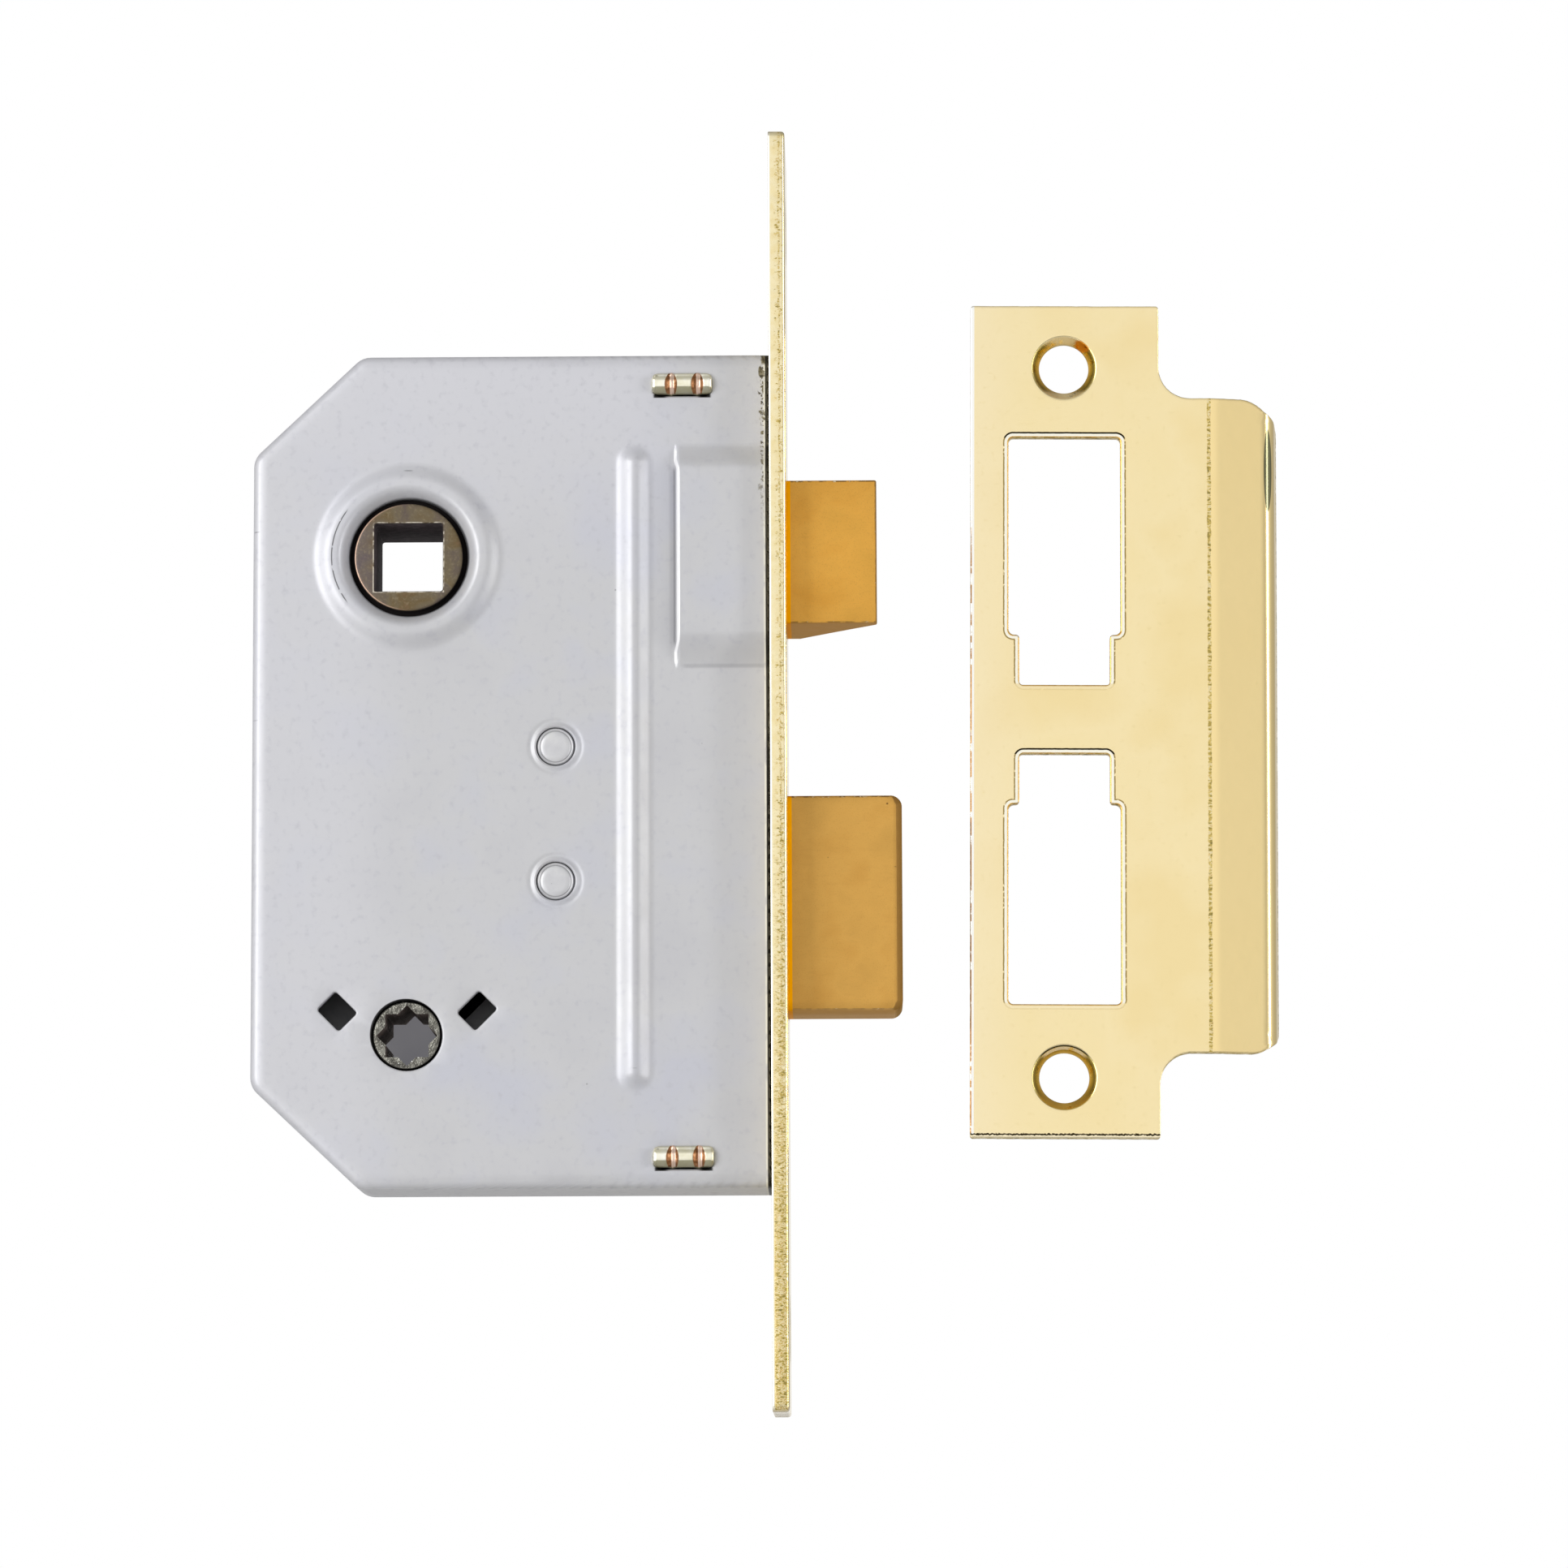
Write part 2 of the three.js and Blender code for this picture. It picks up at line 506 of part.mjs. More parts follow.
function deadBoltTail() {
  const { halfY, top, bottom, rear, neckX } = TAIL;
  const [y0, y1] = [-halfY - 1, halfY + 1];
  const plate = slab(rectangle(rear, neckX, bottom, top, TAIL.cornerR), -halfY, halfY);
  const half = POST.r + GAP;
  const slotEnd = POST.x + half + DEAD.out;
  const postZ = POST.lowerZ;
  const postSlot = slab(rectangle(POST.x - half, slotEnd, postZ - half, postZ + half, TAIL.slotR), y0, y1);
  const notchX = TURN_HUB.x + DRIVE.arm * Math.sin(DRIVE.restAngle);
  const notchHalf = DRIVE.pinR + DRIVE.slack;
  const notchTop = TURN_HUB.z + DRIVE.arm + DRIVE.pinR + DRIVE.slack;
  const notch = block(notchX - notchHalf, notchX + notchHalf, y0, y1, bottom - 1, notchTop);
  const detents = [0, DEAD.out].map((step) => {
    const x = DETENT.x + step;
    const { halfW, depth } = DETENT;
    const wedge = rounded([[x - halfW, top + 0.01], [x, top - depth], [x + halfW, top + 0.01]]);
    return slab(wedge, y0, y1);
  });
  const pinHalf = TAIL_PIN.slotHalf + 0.1;
  const pinX = TAIL_PIN.x;
  const pinHole = block(pinX - pinHalf, pinX + pinHalf, y0, y1, top - TAIL_PIN.notch, top + 1);
  return cut(plate, postSlot, notch, ...detents, pinHole);
}

function tailPin() {
  const { x, r, length, sunk } = TAIL_PIN;
  const geometry = new THREE.CylinderGeometry(r, r, length, 20);
  geometry.rotateX(Math.PI / 2);
  geometry.translate(x, 0, DEAD.z + DEAD.height / 2 - sunk - length / 2);
  return solidOf(geometry);
}

// leaf spring wrapped over the upper post, with a hump in the tail's detent notch
function detentLeaf() {
  const { thick, halfY } = LEAF;
  const r = POST.r + GAP + thick / 2;
  const wrapFrom = THREE.MathUtils.degToRad(LEAF.wrapFrom);
  const wrapTo = THREE.MathUtils.degToRad(LEAF.wrapTo);
  const crestZ = TAIL.top - DETENT.depth + GAP + thick + HUMP.over;
  const points = [
    ...arc(POST.x, POST.upperZ, r, wrapFrom, wrapTo, 20),
    new THREE.Vector2(DETENT.x + HUMP.riseX, crestZ + HUMP.riseZ),
    new THREE.Vector2(DETENT.x + HUMP.half, crestZ),
    new THREE.Vector2(DETENT.x - HUMP.half, crestZ),
    new THREE.Vector2(DETENT.x - HUMP.endX, crestZ + HUMP.endZ),
  ];
  return slab(ribbon(points, thick), -halfY, halfY);
}

function bathroomFollower() {
  const { x, z, r, square, collar, armW } = TURN_HUB;
  const end = CASE.halfDepth - GAP;
  const hub = rod(x, z, r, -end, end, 32);
  const layer = TAIL.halfY + TURN_HUB.play;
  const inner = INNER - GAP;
  const collars = join(rod(x, z, collar, -inner, -layer, 32), rod(x, z, collar, layer, inner, 32));
  const pinX = x + DRIVE.arm * Math.sin(DRIVE.restAngle);
  const pinZ = z + DRIVE.arm * Math.cos(DRIVE.restAngle);
  const pin = rod(pinX, pinZ, DRIVE.pinR, -layer, inner, 24);
  const armBox = new THREE.BoxGeometry(armW, inner - layer, DRIVE.arm);
  armBox.translate(0, (inner + layer) / 2, DRIVE.arm / 2);
  armBox.rotateY(DRIVE.restAngle);
  armBox.translate(x, 0, z);
  const armEnd = rod(pinX, pinZ, armW / 2, layer, inner, 24);
  const points = [0, Math.PI / 4].map((turn) => {
    const spindle = new THREE.BoxGeometry(square, 2 * THROUGH, square);
    spindle.rotateY(turn);
    spindle.translate(x, 0, z);
    return solidOf(spindle);
  });
  return cut(join(hub, collars, pin, solidOf(armBox), armEnd), ...points);
}

// ---- Strike plate ----
function strikeOutline() {
  const { x, z, height, flat, overall } = STRIKE;
  const right = x + flat;
  const end = x + overall;
  return rounded([
    [x, z - height / 2],
    [right, z - height / 2, STRIKE_R.plate],
    [right, TONGUE.bottom, TONGUE.fillet],
    [end, TONGUE.bottom, TONGUE.bottomR],
    [end, TONGUE.top, TONGUE.topR],
    [right, TONGUE.top, TONGUE.fillet],
    [right, z + height / 2, STRIKE_R.plate],
    [x, z + height / 2],
  ]);
}

// the plate seen from its end: flat, then tilted back from the crease, then curled over
function strikeProfile() {
  const { face, thick } = STRIKE;
  const creaseX = STRIKE.x + STRIKE.flat + TONGUE.crease;
  const { tilt, run, curlR, curlEnd, tip } = LIP;
  const middle = face + thick / 2;
  const tiltX = creaseX + run * Math.cos(tilt);
  const tiltY = middle + run * Math.sin(tilt);
  const centreX = tiltX - curlR * Math.sin(tilt);
  const centreY = tiltY + curlR * Math.cos(tilt);
  const curl = arc(centreX, centreY, curlR, tilt - Math.PI / 2, curlEnd - Math.PI / 2, 8);
  const last = curl[curl.length - 1];
  const end = new THREE.Vector2(last.x + tip * Math.cos(curlEnd), last.y + tip * Math.sin(curlEnd));
  const flat = [new THREE.Vector2(STRIKE.x, middle), new THREE.Vector2(creaseX, middle)];
  return ribbon([...flat, ...curl, end], thick);
}

// a bolt opening: a wide part, and a narrower step towards the plate's middle
function boltOpening(sign) {
  const { wide, narrow, tall, step, x, gapHalf, midZ } = OPENING;
  const { face, thick } = STRIKE;
  const centreX = STRIKE.x + x + wide / 2;
  const zOf = (along) => midZ + sign * along;
  const span = (a, b) => [Math.min(zOf(a), zOf(b)), Math.max(zOf(a), zOf(b))];
  const [n0, n1] = span(gapHalf, gapHalf + step + 1);
  const [w0, w1] = span(gapHalf + step, gapHalf + step + tall);
  const cutter = (width, z0, z1) => {
    const shape = rectangle(centreX - width / 2, centreX + width / 2, z0, z1, STRIKE_R.opening);
    return slab(shape, face - 1, face + thick + 1);
  };
  return join(cutter(narrow, n0, n1), cutter(wide, w0, w1));
}

function strikePlate() {
  const { face, thick, height } = STRIKE;
  const bent = new THREE.ExtrudeGeometry(strikeProfile(), { depth: 2 * height, bevelEnabled: false });
  bent.translate(0, 0, STRIKE.z - height);
  const blank = solidOf(bent).intersect(slab(strikeOutline(), face - 1, face + 12));
  const holes = [STRIKE_HOLE.topZ, STRIKE_HOLE.bottomZ].flatMap((z) => {
    const x = STRIKE.x + STRIKE_HOLE.x;
    const { r, headR, sink } = STRIKE_HOLE;
    const bore = rod(x, z, r, face - 1, face + thick + 1, 28);
    return [bore, rod(x, z, headR + 0.1, face - 0.1, face + sink, 28, r - 0.1)];
  });
  return cut(blank, ...holes, boltOpening(1), boltOpening(-1));
}

add("forend_plate", forendPlate(), BRASS);
add("forend_foot_upper", forendFoot(SLOT.upperZ), BRASS);
add("forend_foot_lower", forendFoot(SLOT.lowerZ), BRASS);
add("case_body", caseBody(), PAINT);
add("case_cover", caseCover(), PAINT);
add("bolt_guide_plate", boltGuidePlate(), STEEL);
add("guide_post_upper", guidePost(POST.upperZ), STEEL);
add("guide_post_lower", guidePost(POST.lowerZ), STEEL);
add("spring_stud", springStud(), STEEL);
add("return_spring", returnSpring(), SPRING);
add("latch_spring", latchSpring(), SPRING);
add("detent_leaf", detentLeaf(), SPRING);
add("latch_follower", latchFollower(), BRONZE);
add("latch_bolt", latchBolt(), BOLT_ZINC);
add("latch_stem", latchStem(), STEEL);
add("stem_clip_front", stemClip(CLIP.frontX), SPRING);
add("stem_clip_rear", stemClip(CLIP.rearX), SPRING);
add("latch_yoke", latchYoke(), STEEL);
add("dead_bolt", deadBolt(), BOLT_ZINC);
add("dead_bolt_tail", deadBoltTail(), STEEL);
add("tail_pin", tailPin(), STEEL);
add("bathroom_follower", bathroomFollower(), ZINC);
add("strike_plate", strikePlate(), BRASS);

export default lock;
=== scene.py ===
"""A bathroom mortise lock and its strike plate: visible pieces, materials, light and camera."""
import math
from types import SimpleNamespace as Sizes

import bmesh
import bpy
import numpy as np
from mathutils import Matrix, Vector, noise
from mathutils.geometry import delaunay_2d_cdt


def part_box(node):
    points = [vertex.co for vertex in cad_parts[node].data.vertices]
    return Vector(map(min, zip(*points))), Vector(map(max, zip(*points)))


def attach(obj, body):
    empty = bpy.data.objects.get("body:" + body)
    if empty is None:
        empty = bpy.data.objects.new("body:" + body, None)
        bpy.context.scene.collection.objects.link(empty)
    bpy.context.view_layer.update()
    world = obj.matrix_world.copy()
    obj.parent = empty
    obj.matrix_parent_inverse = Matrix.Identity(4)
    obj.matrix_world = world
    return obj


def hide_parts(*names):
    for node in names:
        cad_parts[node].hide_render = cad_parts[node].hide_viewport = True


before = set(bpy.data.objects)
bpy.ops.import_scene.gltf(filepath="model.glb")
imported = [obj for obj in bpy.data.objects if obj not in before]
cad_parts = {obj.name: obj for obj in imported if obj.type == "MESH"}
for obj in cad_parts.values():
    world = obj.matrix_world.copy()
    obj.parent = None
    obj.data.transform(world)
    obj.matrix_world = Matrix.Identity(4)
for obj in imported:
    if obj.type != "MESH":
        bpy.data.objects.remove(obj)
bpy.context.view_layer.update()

MM = 0.001
TAU = 2 * math.pi
WELD = 1e-8  # points closer than this, in metres, are one point
GUARD = 0.25  # how far inside a rim, in millimetres, a row of points keeps the faces beside it narrow


# ---- Dimensions, in millimetres ----
def span(node):
    """A CAD node's lowest and highest corners, in millimetres."""
    low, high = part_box(node)
    return Vector(low) / MM, Vector(high) / MM


def middle(node):
    """The X and the Z of a CAD node's middle."""
    low, high = span(node)
    return (low.x + high.x) / 2, (low.z + high.z) / 2


FOREND_LOW, FOREND_HIGH = span("forend_plate")
CASE_LOW, CASE_HIGH = span("case_body")
COVER_LOW, COVER_HIGH = span("case_cover")
LATCH_LOW, LATCH_HIGH = span("latch_bolt")
BOLT_LOW, BOLT_HIGH = span("dead_bolt")
LEVER_LOW, LEVER_HIGH = span("latch_follower")
TURN_HIGH = span("bathroom_follower")[1]
STRIKE_LOW, STRIKE_HIGH = span("strike_plate")

SHEET = 1.2  # thickness of the case's pressed steel
CASE_FRONT = FOREND_LOW.x - 0.02  # the case sides butt against the back of the forend
INSIDE = COVER_LOW.y - 0.3  # how far out the pieces between the case sides reach
FRONT_R = 0.34  # rounding of the case sides' sheared front edges
HOLE_EASE = 0.24  # rounding of the punched holes' edges in the tray
POCKET_RAISE = 1.8
FACE = COVER_HIGH.y - POCKET_RAISE  # flat outer face of either case side
BEND = 1.25  # outer radius of the folded walls
CHAMFER = Vector((12.9, 12.2))  # the case's sloped rear corners, along X and Z
CORNER_R = 2.5
LEVER = Vector(middle("latch_follower"))
LEVER_R, LEVER_HOLE, LEVER_SQUARE = 6.45, 7.0, 8.15
BOSS = Sizes(base=11.4, crest_out=9.2, crest_in=8.6, rise=0.9, sink=0.75)
TURN = Vector((LEVER.x, LEVER.y - 57.0))
TURN_R, TURN_HOLE, TURN_SQUARE = 3.96, 4.18, 5.1
DIAMOND = Sizes(dx=8.25, dz=2.9, width=3.1, length=3.7, corner=0.35)
RIB = Sizes(x=-18.1, half=2.35, top=38.9, bottom=-38.5, rise=1.0)
POCKET = Sizes(rear=-12.6, wall=0.62, top=38.6, flat_top=35.8, flat_bottom=15.7, bottom=12.0)
POCKET_FOOT = POCKET.rear - POCKET.wall
POST_HOLE = 2.3
POST_NODES = ("guide_post_upper", "guide_post_lower")
POST_REACH = span(POST_NODES[0])[1].y
POSTS = [Vector(middle(node)) for node in POST_NODES]
FEET = ("forend_foot_upper", "forend_foot_lower")
SLOT = Sizes(x0=-15.9, x1=-8.8, height=2.6, corner=0.9)
STAKES = [SLOT.x0 + (SLOT.x1 - SLOT.x0) * share for share in (0.315, 0.755)]
UNDERSIDE = 0.2  # how far the bolts' cast undersides hang below their working faces
PLAY = 0.3  # gap round the bolts in the forend
FOREND_THICK = FOREND_HIGH.x - FOREND_LOW.x
SCREW = Sizes(z=66.0, r=2.5, head=4.4, depth=1.75)
STRIKE_THICK = 1.5
STRIKE_FLAT = 22.75  # width of the strike plate's flat part above and below its tongue
TONGUE = Sizes(top=46.6, bottom=-32.9, fillet=3.8, top_r=4.2, bottom_r=2.7)
CREASE = STRIKE_LOW.x + STRIKE_FLAT + 6.05
STRIKE_EDGE = STRIKE_HIGH.x - 0.4
LIP_EDGE = STRIKE_EDGE + 0.67  # where the curled lip reaches furthest
STRIKE_FOOT = STRIKE_LOW.z - 0.3  # the burr of its torn lower edge
STRIKE_MIDDLE = (STRIKE_LOW + STRIKE_HIGH) / 2
LEAN = math.radians(0.5)  # the loose strike plate lies a little askew, clockwise
LIP = Sizes(soft=0.8, tilt=0.2, run=6.25, curl_r=0.95, curl_end=1.35, tip=1.6)
OPENING = Sizes(x=4.35, wide=14.0, narrow=11.4, tall=24.6, step=6.1, gap=3.95, middle=7.3)
BURNISH = 0.24  # how far the openings' rolled edges lean in
OPENING_X = STRIKE_LOW.x + OPENING.x + OPENING.wide / 2
OPENING_NEAR = OPENING.gap + BURNISH  # both openings' ends and steps, above and below their middle
OPENING_STEP = OPENING_NEAR + OPENING.step
OPENING_FAR = OPENING_STEP + OPENING.tall - 2 * BURNISH
KEEP_HOLE = Sizes(x=11.3, heights=(50.3, -35.9), r=3.0, head=3.85, depth=0.9)


# ---- Outlines in two dimensions ----
def turned(u, v, angle, u0=0.0, v0=0.0):
    """The place u and v away from a centre at (u0, v0), turned anticlockwise round it."""
    cos, sin = math.cos(angle), math.sin(angle)
    return u0 + u * cos - v * sin, v0 + u * sin + v * cos


def rounded(corners, step=0.45):
    """A closed outline from (u, v, radius) corners, each corner a true arc."""
    points = []
    count = len(corners)
    for i, (u, v, r) in enumerate(corners):
        here = Vector((u, v))
        back = (Vector(corners[i - 1][:2]) - here).normalized()
        ahead = (Vector(corners[(i + 1) % count][:2]) - here).normalized()
        if r <= 0:
            points.append(here)
            continue
        half = back.angle(ahead) / 2
        centre = here + (back + ahead).normalized() * (r / math.sin(half))
        start = here + back * (r / math.tan(half)) - centre
        turn = start.angle_signed(here + ahead * (r / math.tan(half)) - centre)
        steps = max(3, round(abs(turn) * r / step))
        points += [centre + Vector(turned(*start, -turn * k / steps)) for k in range(steps + 1)]
    return [tuple(p) for p in points]


def softened(outline, r):
    """The outline with each sharp corner rounded."""
    corners = []
    for i, here in enumerate(outline):
        back = Vector(outline[i - 1]) - Vector(here)
        ahead = Vector(outline[(i + 1) % len(outline)]) - Vector(here)
        sharp = math.pi - back.angle(ahead) > 0.5
        reach = min(back.length, ahead.length) * 0.4
        corners.append((*here, min(r, reach) if sharp else 0))
    return rounded(corners, step=0.08)


def box_outline(u0, u1, v0, v1, r=0.0):
    return rounded([(u0, v0, r), (u1, v0, r), (u1, v1, r), (u0, v1, r)], step=0.25)


def circle(u, v, r, count):
    return [(u + r * math.cos(TAU * i / count), v + r * math.sin(TAU * i / count)) for i in range(count)]


def divided(outline, step):
    """The same outline with points at most one step apart."""
    points = []
    for a, b in zip(outline, np.roll(outline, -1, axis=0)):
        parts = max(1, math.ceil(math.dist(a, b) / step))
        points += [(a[0] + (b[0] - a[0]) * k / parts, a[1] + (b[1] - a[1]) * k / parts) for k in range(parts)]
    return points


def wound(outline, hole=False):
    """Anticlockwise for an outline and clockwise for a hole, so that the left of the path is material."""
    p = np.asarray(outline)
    q = np.roll(p, -1, axis=0)
    anticlockwise = np.sum(p[:, 0] * q[:, 1] - q[:, 0] * p[:, 1]) > 0
    return outline[::-1] if anticlockwise == hole else outline


def inset(outline, distance):
    """The outline moved into the material, by one distance or by one for each point."""
    p = np.asarray(outline, float)
    ahead = np.roll(p, -1, axis=0) - p
    ahead /= np.linalg.norm(ahead, axis=1)[:, None]
    behind = np.roll(ahead, 1, axis=0)
    left = np.stack([-ahead[:, 1] - behind[:, 1], ahead[:, 0] + behind[:, 0]], axis=1)
    left /= np.linalg.norm(left, axis=1)[:, None]
    miter = np.clip(-left[:, 0] * ahead[:, 1] + left[:, 1] * ahead[:, 0], 0.4, 1)
    return p + left * (np.broadcast_to(distance, len(p)) / miter)[:, None]


def ragged(outline, amount, size):
    """A sheared edge: each point moved a little in."""
    shift = [amount * noise.noise(Vector((u / size, v / size, 1.3))) for u, v in outline]
    return [tuple(p) for p in inset(wound(outline), np.abs(shift))]


def within(points, outline):
    """Which points lie inside a closed outline."""
    p = np.asarray(outline, float)
    hit = np.zeros(len(points), bool)
    for (au, av), (bu, bv) in zip(p, np.roll(p, -1, axis=0)):
        if av != bv:
            crosses = (points[:, 1] >= av) != (points[:, 1] >= bv)
            at = au + (points[:, 1] - av) * (bu - au) / (bv - av)
            hit ^= crosses & (points[:, 0] < at)
    return hit


def between(points, paths):
    """Which points lie inside the first outline and outside the others."""
    keep = within(points, paths[0])
    for hole in paths[1:]:
        keep &= ~within(points, hole)
    return keep


def distance_to(points, path, closed=True):
    """Each point's distance to the nearest place on a path."""
    p = np.asarray(path, float)
    q = np.roll(p, -1, axis=0)
    if not closed:
        p, q = p[:-1], q[:-1]
    best = np.full(len(points), np.inf)
    for a, b in zip(p, q):
        run = b - a
        t = np.clip(((points - a) @ run) / max(run @ run, 1e-12), 0, 1)
        gap = points - a - t[:, None] * run
        best = np.minimum(best, np.hypot(gap[:, 0], gap[:, 1]))
    return best


def grid(u0, u1, v0, v1, step_u, step_v=None):
    us = np.linspace(u0, u1, max(2, round(abs(u1 - u0) / step_u) + 1))
    vs = np.linspace(v0, v1, max(2, round(abs(v1 - v0) / (step_v or step_u)) + 1))
    return np.stack(np.meshgrid(us, vs), axis=-1).reshape(-1, 2)


def radius(p, centre):
    return np.hypot(p[:, 0] - centre.x, p[:, 1] - centre.y)


def ease(t):
    t = np.clip(t, 0, 1)
    return t * t * (3 - 2 * t)


def upright(p, y):
    """Flat (x, z) points placed in space at one y or at one for each."""
    return np.stack([p[:, 0], np.broadcast_to(y, len(p)), p[:, 1]], axis=1)


# ---- Closed skins ----
class Skin:
    """The points and faces of one piece, in millimetres."""

    def __init__(self):
        self.points = []
        self.faces = []

    def loop(self, points):
        start = len(self.points)
        self.points += [tuple(p) for p in points]
        return list(range(start, len(self.points)))

    def strip(self, first, second, closed=True):
        for i in range(len(first) if closed else len(first) - 1):
            j = (i + 1) % len(first)
            self.faces.append((first[i], first[j], second[j], second[i]))

    def tube(self, loops, ends=False):
        """Strips between loops in a row, with a face over either end if asked."""
        for first, second in zip(loops, loops[1:]):
            self.strip(first, second)
        if ends:
            self.faces += [tuple(loops[0]), tuple(reversed(loops[-1]))]

    def wall(self, path, profile, place):
        """Loops along a path, one for each (inset, depth) of a profile, with strips between them."""
        made = []
        for offset, depth in profile:
            flat = inset(path, offset)
            made.append((flat, self.loop(place(flat, depth))))
        self.tube([loop for _, loop in made])
        return made

    def cap(self, rims, seeds, place):
        """Triangles over an outline with holes. rims are (flat points, point numbers), the outline first."""
        flat = [np.asarray(points, float) for points, _ in rims]
        numbers = [n for _, found in rims for n in found]
        edges = []
        start = 0
        for points in flat:
            count = len(points)
            edges += [(start + i, start + (i + 1) % count) for i in range(count)]
            start += count
        if len(seeds):
            seeds = np.unique(np.round(np.asarray(seeds, float), 4), axis=0)
            seeds = seeds[between(seeds, flat)]
            for path in flat:
                seeds = seeds[distance_to(seeds, path) > 0.04]
            numbers += self.loop(place(seeds))
        every = np.concatenate(flat + ([seeds] if len(seeds) else []))
        found = delaunay_2d_cdt([Vector(p) for p in every], edges, [], 0, 1e-6)
        triangles = np.array(found[2])
        source = [o[0] for o in found[3]]
        centres = np.array([[sum(every[source[k]][i] for k in t) / 3 for i in (0, 1)] for t in triangles])
        self.faces += [tuple(numbers[source[k]] for k in t) for t in triangles[between(centres, flat)]]


def eased(front, back, thick):
    """A cut edge's profile as (inset, depth) pairs, with both of its corners rounded in three steps."""
    turns = [math.pi / 2 * k / 3 for k in range(4)]
    face = [(front * (1 - math.sin(t)), front * (1 - math.cos(t))) for t in turns]
    far = [(back * (1 - math.cos(t)), thick - back * (1 - math.sin(t))) for t in turns]
    return face + far


def countersunk(hole, thick):
    """The edge profile of a screw hole: a softened rim, a cone, and the straight part."""
    wide = hole.head - hole.r
    cone = [(wide + 0.12, 0.0), (wide, 0.03), (wide - 0.08, 0.12)]
    return cone + [(0.06, hole.depth - 0.05), (0.0, hole.depth + 0.05), (0.0, thick)]


def plate(loops, thick, edges, place, seeds=()):
    """A sheet with holes. place turns flat points and a depth into points in space."""
    skin = Skin()
    rims = []
    for i, (loop, profile) in enumerate(zip(loops, edges)):
        path = wound(loop, hole=i > 0)
        rims.append(skin.wall(path, profile, place))
        if profile[0][0] > 0:
            beside = divided(inset(path, profile[0][0] + GUARD), 0.8)
            seeds = np.concatenate([np.reshape(seeds, (-1, 2)), beside])
    skin.cap([made[0] for made in rims], seeds, lambda p: place(p, 0.0))
    skin.cap([made[-1] for made in rims], seeds, lambda p: place(p, thick))
    return skin


def slab(outline, y0, y1, round_r=0.2):
    """A plate between two depths, with both edges rounded alike."""
    edge = eased(round_r, round_r, y1 - y0)
    return plate([outline], y1 - y0, [edge], lambda p, depth: upright(p, y0 + depth))


def added(name, data):
    """A new object in the scene."""
    thing = bpy.data.objects.new(name, data)
    bpy.context.scene.collection.objects.link(thing)
    return thing


def solid(name, skin, scale=1.0, welded=False):
    """An object from a skin, with its faces turned outwards."""
    mesh = bpy.data.meshes.new(name)
    mesh.from_pydata([tuple(c * scale for c in p) for p in skin.points], [], skin.faces)
    work = bmesh.new()
    work.from_mesh(mesh)
    if welded:
        bmesh.ops.remove_doubles(work, verts=work.verts, dist=WELD)
        bmesh.ops.dissolve_degenerate(work, edges=work.edges, dist=WELD)
    bmesh.ops.recalc_face_normals(work, faces=work.faces)
    work.to_mesh(mesh)
    work.free()
    return added(name, mesh)


def piece(name, skin, material, body, replaces, crease=32):
    """A visible piece from a skin, riding on a body and standing for the CAD nodes named."""
    thing = solid(name, skin, MM, welded=True)
    finish_piece(thing, material, crease)
    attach(thing, body)
    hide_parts(*replaces)


def finish_piece(thing, material, crease):
    thing.data.materials.clear()
    thing.data.materials.append(material)
    thing.data.polygons.foreach_set("use_smooth", [True] * len(thing.data.polygons))
    thing.data.set_sharp_from_angle(angle=math.radians(crease))


def combine(skin, other, operation="UNION"):
    """A boolean of two skins, as one skin."""
    things = [solid("part", part) for part in (skin, other)]
    change = things[0].modifiers.new("combine", "BOOLEAN")
    change.object = things[1]
    change.operation = operation
    change.solver = "EXACT"
    found = things[0].evaluated_get(bpy.context.evaluated_depsgraph_get()).to_mesh()
    result = Skin()
    result.points = [tuple(v.co) for v in found.vertices]
    result.faces = [tuple(f.vertices) for f in found.polygons]
    for thing in things:
        mesh = thing.data
        bpy.data.objects.remove(thing)
        bpy.data.meshes.remove(mesh)
    return result


# ---- Case ----
def case_path():
    """The case's outline, anticlockwise from its lower front corner."""
    x, z = CASE_LOW.x, CASE_HIGH.z
    return rounded([
        (CASE_FRONT, -z, 0), (CASE_FRONT, z, 0), (x + CHAMFER.x, z, CORNER_R), (x, z - CHAMFER.y, CORNER_R),
        (x, -z + CHAMFER.y, CORNER_R), (x + CHAMFER.x, -z, CORNER_R),
    ])


def wall_path(gap):
    """The walls' path from the front's top corner round to its bottom corner, a gap inside the outline."""
    path = [tuple(p) for p in inset(case_path(), gap)]
    path[0] = (CASE_FRONT, path[0][1])
    path[1] = (CASE_FRONT, path[1][1])
    return path[1:] + path[:1]


def rib_height(p):
    ends = np.clip(p[:, 1], RIB.bottom + RIB.half, RIB.top - RIB.half)
    q = np.clip(np.hypot(p[:, 0] - RIB.x, p[:, 1] - ends) / RIB.half, 0, 1)
    return RIB.rise * (1 + np.cos(math.pi * q)) / 2


def boss_height(p):
    """A raised ring round the lever follower that dips inwards to its hole."""
    r = radius(p, LEVER)
    outside = ease((BOSS.base - r) / (BOSS.base - BOSS.crest_out))
    t = np.clip((BOSS.crest_in - r) / (BOSS.crest_in - LEVER_HOLE), 0, 1)
    return BOSS.rise * outside - (BOSS.rise + BOSS.sink) * (0.3 * ease(t) + 0.7 * t**2.4)


